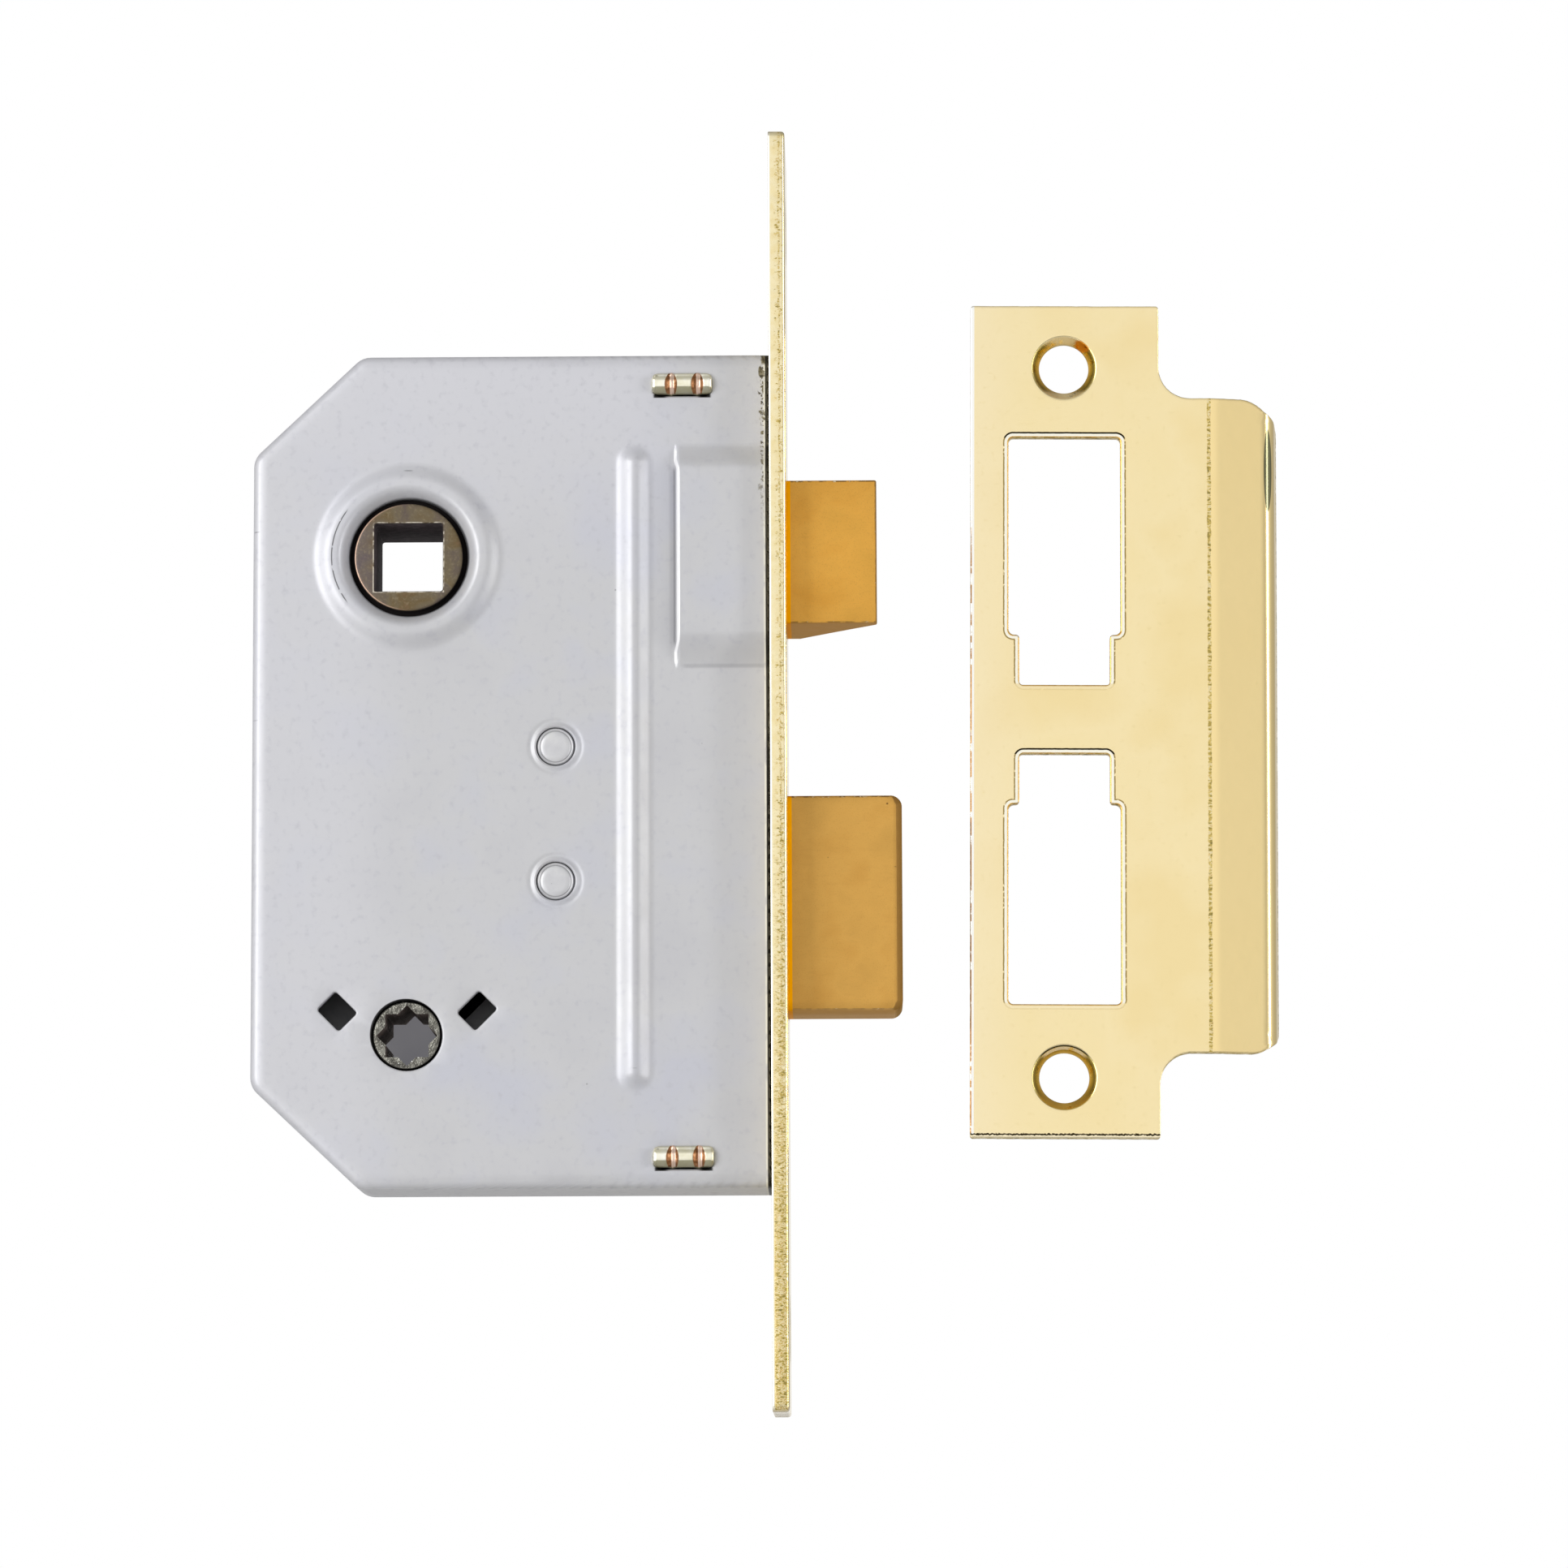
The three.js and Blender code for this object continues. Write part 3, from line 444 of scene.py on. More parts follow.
def pocket_height(p):
    """The pressed pocket that gives the thick latch head its room; it runs out at the front edge."""
    t = np.clip((p[:, 0] - POCKET.rear + POCKET.wall) / POCKET.wall, 0, 1)
    rise = 1 - (1 - t) ** 2.2
    low = (p[:, 1] - POCKET.bottom) / (POCKET.flat_bottom - POCKET.bottom)
    high = (POCKET.top - p[:, 1]) / (POCKET.top - POCKET.flat_top)
    slope = np.clip(np.minimum(low, high), 0, 1)
    past = p[:, 0] - POCKET_FOOT
    groove = 0.22 * np.where(past < 0, ease(1 + past / 0.8), ease(1 - past / 0.1))
    return (POCKET_RAISE * rise - groove) * (0.65 * slope + 0.35 * ease(slope))


def stake_height(p):
    """A low swelling round each post end, where riveting has squeezed the sheet."""
    height = np.zeros(len(p))
    for post in POSTS:
        r = radius(p, post)
        height += 0.12 * np.exp(-((r - 2.55) / 0.22) ** 2) - 0.1 * np.exp(-((r - 3.0) / 0.25) ** 2)
    return height


def waves(p, size, height, seed):
    """Slow unevenness of rolled sheet."""
    return np.array([height * noise.noise(Vector((u / size, v / size, seed))) for u, v in p])


def relief(p):
    return rib_height(p) + boss_height(p) + pocket_height(p) + stake_height(p) + waves(p, 9.0, 0.02, 3.7)


def fold_drop(p):
    """How far the outer face falls away in the fold to the walls."""
    d = np.clip(distance_to(p, wall_path(0), closed=False), 0, BEND)
    past = np.clip(p[:, 0] - CASE_FRONT + FRONT_R, 0, FRONT_R)
    return BEND - np.sqrt(BEND**2 - (BEND - d) ** 2) + FRONT_R - np.sqrt(FRONT_R**2 - past**2)


def side_seeds():
    """Points of the case's flat side, close together where it's pressed."""
    wide = grid(CASE_LOW.x, CASE_FRONT, CASE_LOW.z, CASE_HIGH.z, 2.4)
    away = distance_to(wide, [(RIB.x, RIB.bottom), (RIB.x, RIB.top)], closed=False) > 3.4
    away &= radius(wide, LEVER) > 12.4
    away &= ~((wide[:, 0] > POCKET.rear - 1.2) & (wide[:, 1] > 11) & (wide[:, 1] < 40))
    away &= distance_to(wide, case_path()) > 2.2
    parts = [wide[away]]
    for gap in (0.05, 0.12, 0.22, FRONT_R, 0.6, 1.2):
        parts.append(grid(CASE_FRONT - gap, CASE_FRONT - gap, CASE_LOW.z + 0.9, CASE_HIGH.z - 0.9, 1.0, 0.8))
    for r in np.concatenate([np.arange(7.12, 9.3, 0.2), np.arange(9.4, 12.3, 0.35)]):
        parts.append(np.array(circle(*LEVER, r, 96)))
    spine = (RIB.bottom + RIB.half, RIB.top - RIB.half)
    for q in np.arange(0.0, 3.1, 0.28):
        for side in (-1, 1):
            parts.append(grid(RIB.x + side * q, RIB.x + side * q, *spine, 1.0, 1.2))
        for end, turn in zip(spine, (-1, 1)):
            angles = np.linspace(0, math.pi, max(4, round(q * 8)))
            parts.append(np.stack([RIB.x + q * np.cos(angles), end + turn * q * np.sin(angles)], axis=1))
    low, high = POCKET.bottom - 1, POCKET.top + 1
    parts.append(grid(POCKET_FOOT - 0.8, POCKET_FOOT - 0.1, low, high, 0.17, 0.7))
    parts.append(grid(POCKET_FOOT - 0.04, POCKET.rear + 0.1, low, high, 0.08, 0.7))
    for z0, z1 in ((POCKET.bottom, POCKET.flat_bottom), (POCKET.flat_top, POCKET.top)):
        parts.append(grid(POCKET.rear + 0.7, CASE_FRONT, z0 - 0.4, z1 + 0.4, 1.2, 0.35))
    parts.append(grid(POCKET.rear + 1.2, CASE_FRONT, POCKET.flat_bottom + 1, POCKET.flat_top - 1, 1.6, 1.8))
    for post in POSTS:
        for r in np.arange(POST_HOLE + 0.12, 3.7, 0.16):
            parts.append(np.array(circle(*post, r, 40)))
    return np.concatenate(parts)


def side_holes(with_diamonds):
    """The outlines of the holes in a case side."""
    holes = [circle(*LEVER, LEVER_HOLE, 96), circle(*TURN, TURN_HOLE, 64)]
    holes += [circle(*post, POST_HOLE, 40) for post in POSTS]
    for node in FEET:
        z, half = middle(node)[1], SLOT.height / 2
        holes.append(box_outline(SLOT.x0, SLOT.x1, z - half, z + half, SLOT.corner))
    if with_diamonds:
        holes += [diamond_outline(side) for side in (-1, 1)]
    return [divided(hole, 0.5) for hole in holes]


def diamond_outline(side):
    w, h = DIAMOND.width / 2, DIAMOND.length / 2
    centre = (TURN.x + side * DIAMOND.dx, TURN.y + DIAMOND.dz)
    return [turned(u, v, -side * math.pi / 4, *centre) for u, v in box_outline(-w, w, -h, h, DIAMOND.corner)]


def case_shell(material):
    """The folded tray: its flat side faces -Y, and its walls run back to the cover."""
    skin = Skin()
    wall, inner_wall = wall_path(0), wall_path(SHEET)
    far = COVER_LOW.y - 0.06  # where the walls end, just short of the cover
    front_z = np.arange(-CASE_HIGH.z + 0.8, CASE_HIGH.z - 0.7, 0.8)
    inner_scale = (CASE_HIGH.z - SHEET) / CASE_HIGH.z

    def outer(p, depth=0.0):
        return upright(p, -FACE - relief(p) + fold_drop(p) + depth)

    def inner(p):
        """Pressed like the outside, but round the follower it leaves the room behind it free."""
        y = -FACE - relief(p) + SHEET
        return upright(p, np.where(radius(p, LEVER) < BOSS.base, np.minimum(y, -COVER_LOW.y + 0.15), y))

    outer_flat = np.array(wall + [(CASE_FRONT, z) for z in front_z])
    inner_flat = np.array(inner_wall + [(CASE_FRONT, z * inner_scale) for z in front_z])
    outer_rim, inner_rim = skin.loop(outer(outer_flat)), skin.loop(inner(inner_flat))
    last = len(wall) - 1
    far_outer, far_inner = [skin.loop([(x, far, z) for x, z in path]) for path in (wall, inner_wall)]
    skin.strip(outer_rim[:last + 1], far_outer, closed=False)
    skin.strip(inner_rim[:last + 1], far_inner, closed=False)
    skin.strip(far_outer, far_inner, closed=False)
    skin.faces.append((outer_rim[0], far_outer[0], far_inner[0], inner_rim[0]))
    skin.faces.append((outer_rim[last], inner_rim[last], far_inner[-1], far_outer[-1]))
    skin.strip(outer_rim[last:] + outer_rim[:1], inner_rim[last:] + inner_rim[:1], closed=False)

    path = wound(case_path())
    gaps = [BEND * (1 - math.cos(math.pi / 2 * k / 6)) for k in range(1, 6)] + [BEND + 0.5]
    seeds = np.concatenate([side_seeds(), *[divided(inset(path, gap), 1.6) for gap in gaps]])
    outer_rims, inner_rims = [(outer_flat, outer_rim)], [(inner_flat, inner_rim)]
    for hole in side_holes(with_diamonds=True):
        path = wound(hole, hole=True)
        rings = skin.wall(path, eased(HOLE_EASE, 0.0, SHEET)[:4], outer)
        back = skin.loop(inner(np.asarray(path)))
        skin.strip(rings[-1][1], back)
        outer_rims.append(rings[0])
        inner_rims.append((path, back))
    skin.cap(outer_rims, seeds, outer)
    skin.cap(inner_rims, side_seeds(), inner)
    piece("case_tray", skin, material, "case", ["case_body"], crease=38)


def cover_plate(material):
    """The flat side that closes the tray, with the same pressings as the side in front."""
    stud = circle(*middle("spring_stud"), 1.5, 28)
    loops = [divided(case_path(), 1.2), *side_holes(with_diamonds=False), stud]
    edges = [eased(0.35, 0.1, SHEET)] + [eased(0.15, 0.1, SHEET)] * (len(loops) - 1)
    skin = plate(loops, SHEET, edges, lambda p, depth: upright(p, FACE + relief(p) - depth), side_seeds())
    piece("case_side", skin, material, "case", ["case_cover"], crease=38)


# ---- Forend ----
def forend(material):
    """The plated strip that the lock is screwed into the door edge by. Its flat is Y and Z."""
    def place(p, depth):
        return np.stack([FOREND_HIGH.x - np.full(len(p), depth), p[:, 0], p[:, 1]], axis=1)

    extent = (FOREND_LOW.y, FOREND_HIGH.y, FOREND_LOW.z, FOREND_HIGH.z)
    loops = [ragged(divided(box_outline(*extent, 0.7), 0.45), 0.07, 0.5)]
    edges = [eased(0.42, 0.12, FOREND_THICK)]
    for low, high in ((LATCH_LOW, LATCH_HIGH), (BOLT_LOW, BOLT_HIGH)):
        half = high.y + PLAY
        loops.append(divided(box_outline(-half, half, low.z - PLAY - UNDERSIDE, high.z + PLAY, 0.5), 0.8))
        edges.append(eased(0.2, 0.1, FOREND_THICK))
    for z in (-SCREW.z, SCREW.z):
        loops.append(circle(0, z, SCREW.r, 56))
        edges.append(countersunk(SCREW, FOREND_THICK))
    skin = plate(loops, FOREND_THICK, edges, place, grid(*extent, 2.2))
    piece("forend", skin, material, "case", ["forend_plate"])


def lug_height(p, z):
    """Depth of the staked face of a foot's end: two chisel grooves and edges that fall away."""
    depth = np.zeros(len(p))
    for x in STAKES:
        away = np.abs(p[:, 0] - x)
        depth += 0.45 * np.clip(1 - away / 0.66, 0, 1) ** 0.7 - 0.28 * np.exp(-((away / 0.16) ** 2))
    off = p[:, 1] - z
    return depth + np.where(off > 0, 0.3 * ease((off - 0.5) / 0.6), 0.75 * ease((-off - 0.25) / 1.1))


def foot(node, name, material):
    """A bar behind the forend. Its ends stand through the case sides and are staked over."""
    low, high = span(node)
    z, half, sunk = middle(node)[1], SLOT.height / 2, 2.0
    outline = divided(box_outline(SLOT.x0, SLOT.x1, z - half + 0.2, z + half + 0.05, 0.55), 0.22)
    bulge = [0.16 * max(0.0, 1 - min(abs(u - x) for x in STAKES) / 0.55) for u, _ in outline]
    outline = inset(wound(outline), [-b for b in bulge])
    seeds = grid(SLOT.x0, SLOT.x1, z - half, z + half, 0.14, 0.2)
    skin = Skin()
    ends = []
    for side in (-1, 1):
        def place(p, depth=0.0, side=side):
            staked = lug_height(p, z) if depth < sunk else 0
            return upright(p, side * (high.y - depth - staked))

        rings = skin.wall(outline, eased(0.3, 0.0, sunk)[:4] + [(0.0, sunk + 0.2)], place)
        skin.cap([rings[0]], seeds, place)
        ends.append(rings[-1][1])
    skin.strip(*ends)
    bar = slab(box_outline(low.x, high.x, low.z, high.z, 0.25), -INSIDE, INSIDE)
    piece(name, combine(skin, bar), material, "case", [node])


# ---- Bolts ----
def latch_head(material):
    """The sprung bolt: thick at the root, and bevelled on the +Y side to a thin nose."""
    half, nose = LATCH_HIGH.y, 1.6
    root, shoulder, out = LATCH_LOW.x, -2.4, LATCH_HIGH.x
    start, pull, stop = Vector((out, -half + nose)), Vector((out * 0.58, 0.5)), Vector((1.6, half))
    bevel = [tuple(start * (1 - t) ** 2 + pull * 2 * t * (1 - t) + stop * t * t) for t in np.arange(9) / 8]
    plan = softened([(shoulder, -half), (out, -half)] + bevel + [(shoulder, half)], 0.3)
    rear_plan = box_outline(root, shoulder + 1.5, 0.5 - half, half - 0.5, 0.3)
    bottom = LATCH_LOW.z - UNDERSIDE
    tall = LATCH_HIGH.z - bottom

    def place(p, depth):
        return np.stack([p[:, 0], p[:, 1], bottom + np.full(len(p), depth)], axis=1)

    skin = combine(*[plate([path], tall, [eased(0.2, 0.2, tall)], place) for path in (plan, rear_plan)])
    seat_r, seat_end, bore_r, bore_end = 4.7, root + 5, 2.8, 4.0  # for the spring and for the stem
    for r, x1 in ((seat_r, seat_end), (bore_r, bore_end)):
        skin = combine(skin, rod_along_x(middle("latch_bolt")[1], r, root - 1, x1), "DIFFERENCE")
    piece("latch_head", skin, material, "latch", ["latch_bolt"])


def rod_along_x(z, r, x0, x1):
    skin = Skin()
    skin.tube([skin.loop([(x, u, z + v) for u, v in circle(0, 0, r, 48)]) for x in (x0, x1)], ends=True)
    return skin


def bolt_head(material):
    """The square bolt that the bathroom turn throws, with a chamfered nose."""
    out, half, bottom = BOLT_HIGH.x, BOLT_HIGH.y, BOLT_LOW.z - UNDERSIDE
    corners = [
        (BOLT_LOW.x, bottom, 0.3), (out, bottom, 1.25),
        (out, BOLT_HIGH.z, 1.25), (BOLT_LOW.x, BOLT_HIGH.z, 0.3),
    ]
    outline = wound(divided(rounded(corners, step=0.2), 0.8))
    chamfer = 0.22 + 0.58 * np.array([ease((u - out + 1.4) / 1.2) for u, _ in outline])
    steps = [(1.0, 0.0), (0.86, 0.06), (0.06, 0.86), (0.0, 1.0)]
    profile = [(chamfer * inward, -half + chamfer * deeper) for inward, deeper in steps]
    profile += [(inward, -y) for inward, y in reversed(profile)]
    skin = Skin()
    rings = skin.wall(outline, profile, upright)
    seeds = grid(BOLT_LOW.x, out, BOLT_LOW.z, BOLT_HIGH.z, 1.1)
    for ring, side in ((rings[0], -1), (rings[-1], 1)):
        skin.cap([ring], seeds, lambda p, side=side: upright(p, side * (half - dents(p))))
    tail_low, tail_high = span("dead_bolt_tail")
    room = tail_high.y + PLAY
    mouth = box_outline(BOLT_LOW.x - 2, 6.3, tail_low.z - PLAY, tail_high.z + PLAY, 0.4)
    slot = slab(mouth, -room, room, 0.05)
    piece("bolt_head", combine(skin, slot, "DIFFERENCE"), material, "dead_bolt", ["dead_bolt"])


def dents(p):
    """Shallow marks of casting and handling on the bolt's sides."""
    return np.array([0.03 * max(0.0, noise.noise(Vector((u / 2.1, v / 2.1, 8.4))) - 0.25) for u, v in p])


# ---- Followers ----
def disc(x, z, r, y0, y1, count=64, round_r=0.2):
    return slab(circle(x, z, r, count), y0, y1, round_r)


def lever_follower(material):
    """The bronze hub with the lever spindle's square, and the two arms that draw the latch back."""
    half, end, collar_r = LEVER_SQUARE / 2, LEVER_HIGH.y, 7.9
    arm, arm_y = 2.2, 2.5  # half the arms' width and half their thickness
    x, z = LEVER
    body = combine(disc(x, z, LEVER_R, -end, end, 96), disc(x, z, collar_r, -INSIDE, INSIDE, 96))
    arms = box_outline(x - arm, x + arm, LEVER_LOW.z, LEVER_HIGH.z, 1.2)
    body = combine(body, slab(arms, -arm_y, arm_y, 0.3))
    square = divided(box_outline(x - half, x + half, z - half, z + half, 0.3), 0.6)
    wide = [(-0.25, -1.0), (-0.09, -0.001), (-0.03, 0.05), (0.0, 0.14), (0.0, end)]
    flare = wide + [(u, 2 * end - d) for u, d in reversed(wide[:-1])]
    tool = plate([square], 2 * end, [flare], lambda p, depth: upright(p, depth - end))
    body = combine(body, tool, "DIFFERENCE")
    piece("lever_hub", body, material, "latch_follower", ["latch_follower"])


def star_outline(x, z, side):
    """Two squares turned 45 degrees to each other."""
    tip, notch = side / math.sqrt(2), side / 2 / math.cos(math.pi / 8)
    radii = [tip, notch] * 8
    return [(x + r * math.cos(TAU * i / 16), z + r * math.sin(TAU * i / 16)) for i, r in enumerate(radii)]


def turn_follower(material):
    """The zinc hub with the bathroom spindle's star, and the pin that drives the dead bolt's tail."""
    x, z = TURN
    end, arm_y, boss_r, flange_r, pin_r = TURN_HIGH.y, 1.7, 2.2, 5.6, 1.5
    pin = (TURN_HIGH.x - boss_r, TURN_HIGH.z - boss_r)
    body = disc(x, z, TURN_R, -end, end, round_r=0.16)
    for y0, y1 in ((-INSIDE, -arm_y), (arm_y, INSIDE)):
        body = combine(body, disc(x, z, flange_r, y0, y1))
    along = (Vector(pin) - TURN).normalized() * 0.1
    side = Vector((-along.y, along.x)).normalized() * boss_r
    start, stop = TURN + along, Vector(pin)
    web = [tuple(p) for p in (start + side, start - side, stop - side, stop + side)]
    body = combine(body, slab(web, arm_y, INSIDE, 0.05))
    body = combine(body, disc(*pin, boss_r, arm_y, INSIDE, 40))
    body = combine(body, disc(*pin, pin_r, -arm_y, INSIDE - 0.5, 40))
    star = softened(star_outline(x, z, TURN_SQUARE), 0.12)
    through = 20.0  # longer than the hub
    straight = [(0.0, 0.0), (0.0, through)]
    cutter = plate([star], through, [straight], lambda p, depth: upright(p, depth - through / 2))
    body = combine(body, cutter, "DIFFERENCE")
    piece("turn_hub", body, material, "bathroom_follower", ["bathroom_follower"])


def post(name, node, centre, material):
    """A spacer post whose ends are riveted into both case sides, with a low domed head on each."""
    end, neck = POST_REACH, POST_HOLE - 0.08
    rings = [  # radius and distance from the middle plane, from the shoulder inside to the dimpled head
        (2.5, INSIDE - 0.3), (2.2, INSIDE), (POST_HOLE - 0.1, INSIDE + 0.02), (neck, end - 0.35),
        (neck - 0.08, end - 0.12), (2.05, end - 0.02), (1.95, end - 0.08), (1.85, end - 0.16),
        (1.75, end - 0.08), (1.6, end - 0.01), (1.2, end), (0.6, end),
    ]
    rings = [(r, -y) for r, y in reversed(rings)] + rings
    skin = Skin()
    skin.tube([skin.loop([(u, y, v) for u, v in circle(*centre, r, 48)]) for r, y in rings], ends=True)
    piece(name, skin, material, "case", [node])


# ---- Strike plate ----
def lip_curve():
    """The strike plate's middle line from its crease outwards: length, x, y and heading at each step."""
    x, y, s, heading, step = CREASE, STRIKE_LOW.y + STRIKE_THICK / 2, 0.0, 0.0, 0.05
    line = [(s, x, y, heading)]
    total = LIP.soft + LIP.run + LIP.curl_r * (LIP.curl_end - LIP.tilt) + LIP.tip
    while s < total:
        if s < LIP.soft:
            heading = LIP.tilt * s / LIP.soft
        elif s < LIP.soft + LIP.run - LIP.soft / 2:
            heading = LIP.tilt
        else:
            heading = min(LIP.curl_end, heading + step / LIP.curl_r)
        x += step * math.cos(heading)
        y += step * math.sin(heading)
        s += step
        line.append((s, x, y, heading))
    return np.array(line)


def strike(material):
    """The keep that the bolts enter, with a lip that guides the latch. Its face is towards -Y."""
    low, high, edge = STRIKE_LOW, STRIKE_HIGH, STRIKE_EDGE
    curve = lip_curve()
    curve = curve[curve[:, 1] <= high.x + STRIKE_THICK]
    right, corner = low.x + STRIKE_FLAT, 0.35
    outline = rounded([
        (low.x, STRIKE_FOOT, corner), (right, STRIKE_FOOT, corner), (right, TONGUE.bottom, TONGUE.fillet),
        (edge, TONGUE.bottom, TONGUE.bottom_r), (edge, TONGUE.top, TONGUE.top_r),
        (right, TONGUE.top, TONGUE.fillet), (right, high.z, corner), (low.x, high.z, corner),
    ], step=0.15)
    loops = [unbent(ragged(divided(outline, 0.6), 0.05, 0.5), curve), bolt_opening(1), bolt_opening(-1)]
    edges = [eased(0.1, 0.1, STRIKE_THICK)] + [eased(0.12, 0.12, STRIKE_THICK)] * 2
    for z in KEEP_HOLE.heights:
        loops.append(circle(low.x + KEEP_HOLE.x, z, KEEP_HOLE.r, 64))
        edges.append(countersunk(KEEP_HOLE, STRIKE_THICK))
    reach = CREASE + curve[-1, 0]
    seeds = np.concatenate([
        grid(low.x, CREASE - 0.4, low.z, high.z, 2.0),
        grid(CREASE - 0.2, reach, low.z, high.z, 0.35, 1.6),
    ])
    skin = plate(loops, STRIKE_THICK, edges, lambda p, depth: leaning(bent(p, depth, curve)), seeds)
    piece("keep", skin, material, "strike_plate", ["strike_plate"], crease=40)


def unbent(outline, curve):
    """Outline points beyond the crease, moved to where they lie before the lip is bent."""
    lengths, xs = curve[:, 0], curve[:, 1]
    return [(CREASE + float(np.interp(min(u, xs.max()), xs, lengths)) if u > CREASE else u, v)
            for u, v in outline]


def bent(p, depth, curve):
    """Flat points of the strike plate and a depth behind its face, placed along the bent lip."""
    s = np.maximum(p[:, 0] - CREASE, 0)
    x, y, heading = [np.interp(s, curve[:, 0], curve[:, k]) for k in (1, 2, 3)]
    x = np.where(p[:, 0] > CREASE, x, p[:, 0])
    out = depth - STRIKE_THICK / 2
    flat = np.where(p[:, 0] < CREASE, 1, 0) * waves(p, 16.0, 0.03, 5.1)
    return np.stack([x - out * np.sin(heading), y + out * np.cos(heading) + flat, p[:, 1]], axis=1)


def leaning(points):
    """Points of the strike plate, turned about its middle to lie askew."""
    centre = STRIKE_MIDDLE.x, STRIKE_MIDDLE.z
    x, z = turned(points[:, 0] - centre[0], points[:, 2] - centre[1], -LEAN, *centre)
    return np.stack([x, points[:, 1], z], axis=1)


def bolt_opening(sign):
    """A wide opening with a narrower step towards the plate's middle."""
    wide, narrow = OPENING.wide / 2 - BURNISH, OPENING.narrow / 2 - BURNISH
    near, step, far = [OPENING.middle + sign * z for z in (OPENING_NEAR, OPENING_STEP, OPENING_FAR)]
    half = [(narrow, near, 0.4), (narrow, step, 0.4), (wide, step, 0.7), (wide, far, 0.6)]
    corners = half + [(-u, v, r) for u, v, r in reversed(half)]
    corners = corners[-1:] + corners[:-1]
    return divided(rounded([(OPENING_X + u, v, r) for u, v, r in corners], step=0.2), 1.0)


# ---- Node trees ----
def linear(tone):
    """A node colour from 0 to 255 display values, or a plain grey from one linear number."""
    if isinstance(tone, float):
        return (tone, tone, tone, 1.0)
    return tuple(c / 255 / 12.92 if c <= 10 else ((c / 255 + 0.055) / 1.055) ** 2.4 for c in tone) + (1.0,)


class Value:
    """A number, colour or vector that nodes work out. Arithmetic on it adds math nodes."""

    def __init__(self, nodes, socket):
        self.nodes = nodes
        self.socket = socket

    def __add__(self, other):
        return self.nodes.math("ADD", self, other)

    def __sub__(self, other):
        return self.nodes.math("SUBTRACT", self, other)

    def __rsub__(self, other):
        return self.nodes.math("SUBTRACT", other, self)

    def __mul__(self, other):
        return self.nodes.math("MULTIPLY", self, other)

    def __truediv__(self, other):
        return self.nodes.math("DIVIDE", self, other)

    def __abs__(self):
        return self.nodes.math("ABSOLUTE", self)


class Nodes:
    """The node tree of a material or of the world."""

    def __init__(self, owner):
        owner.use_nodes = True
        self.tree = owner.node_tree
        self.tree.nodes.clear()

    def put(self, value, socket):
        if isinstance(value, Value):
            self.tree.links.new(value.socket, socket)
        else:
            socket.default_value = value

    def node(self, kind, inputs=(), **settings):
        """A new node, its settings by name and its input sockets by name or number."""
        made = self.tree.nodes.new("ShaderNode" + kind)
        for key, value in settings.items():
            setattr(made, key, value)
        for key, value in dict(inputs).items():
            self.put(value, made.inputs[key])
        return made

    def value(self, kind, inputs=(), output=0, **settings):
        """One output of a new node."""
        return Value(self, self.node(kind, inputs, **settings).outputs[output])

    def math(self, operation, a, b=0.0):
        return self.value("Math", {0: a, 1: b}, operation=operation)

    def split(self, vector):
        """A vector's three numbers."""
        return [Value(self, part) for part in self.node("SeparateXYZ", {0: vector}).outputs]

    def remap(self, value, low=0.0, high=1.0, source=(0.0, 1.0), kind="LINEAR"):
        """A value between the two sources, moved to the same place between low and high."""
        ends = {"From Min": source[0], "From Max": source[1], "To Min": low, "To Max": high}
        return self.value("MapRange", {"Value": value, **ends}, interpolation_type=kind)

    def ramp(self, value, stops, kind="LINEAR"):
        made = self.node("ValToRGB", {"Fac": value})
        made.color_ramp.interpolation = kind
        elements = made.color_ramp.elements
        while len(elements) < len(stops):
            elements.new(0.5)
        for element, (at, tone) in zip(elements, stops):
            element.position = at
            element.color = linear(tone)
        return Value(self, made.outputs["Color"])


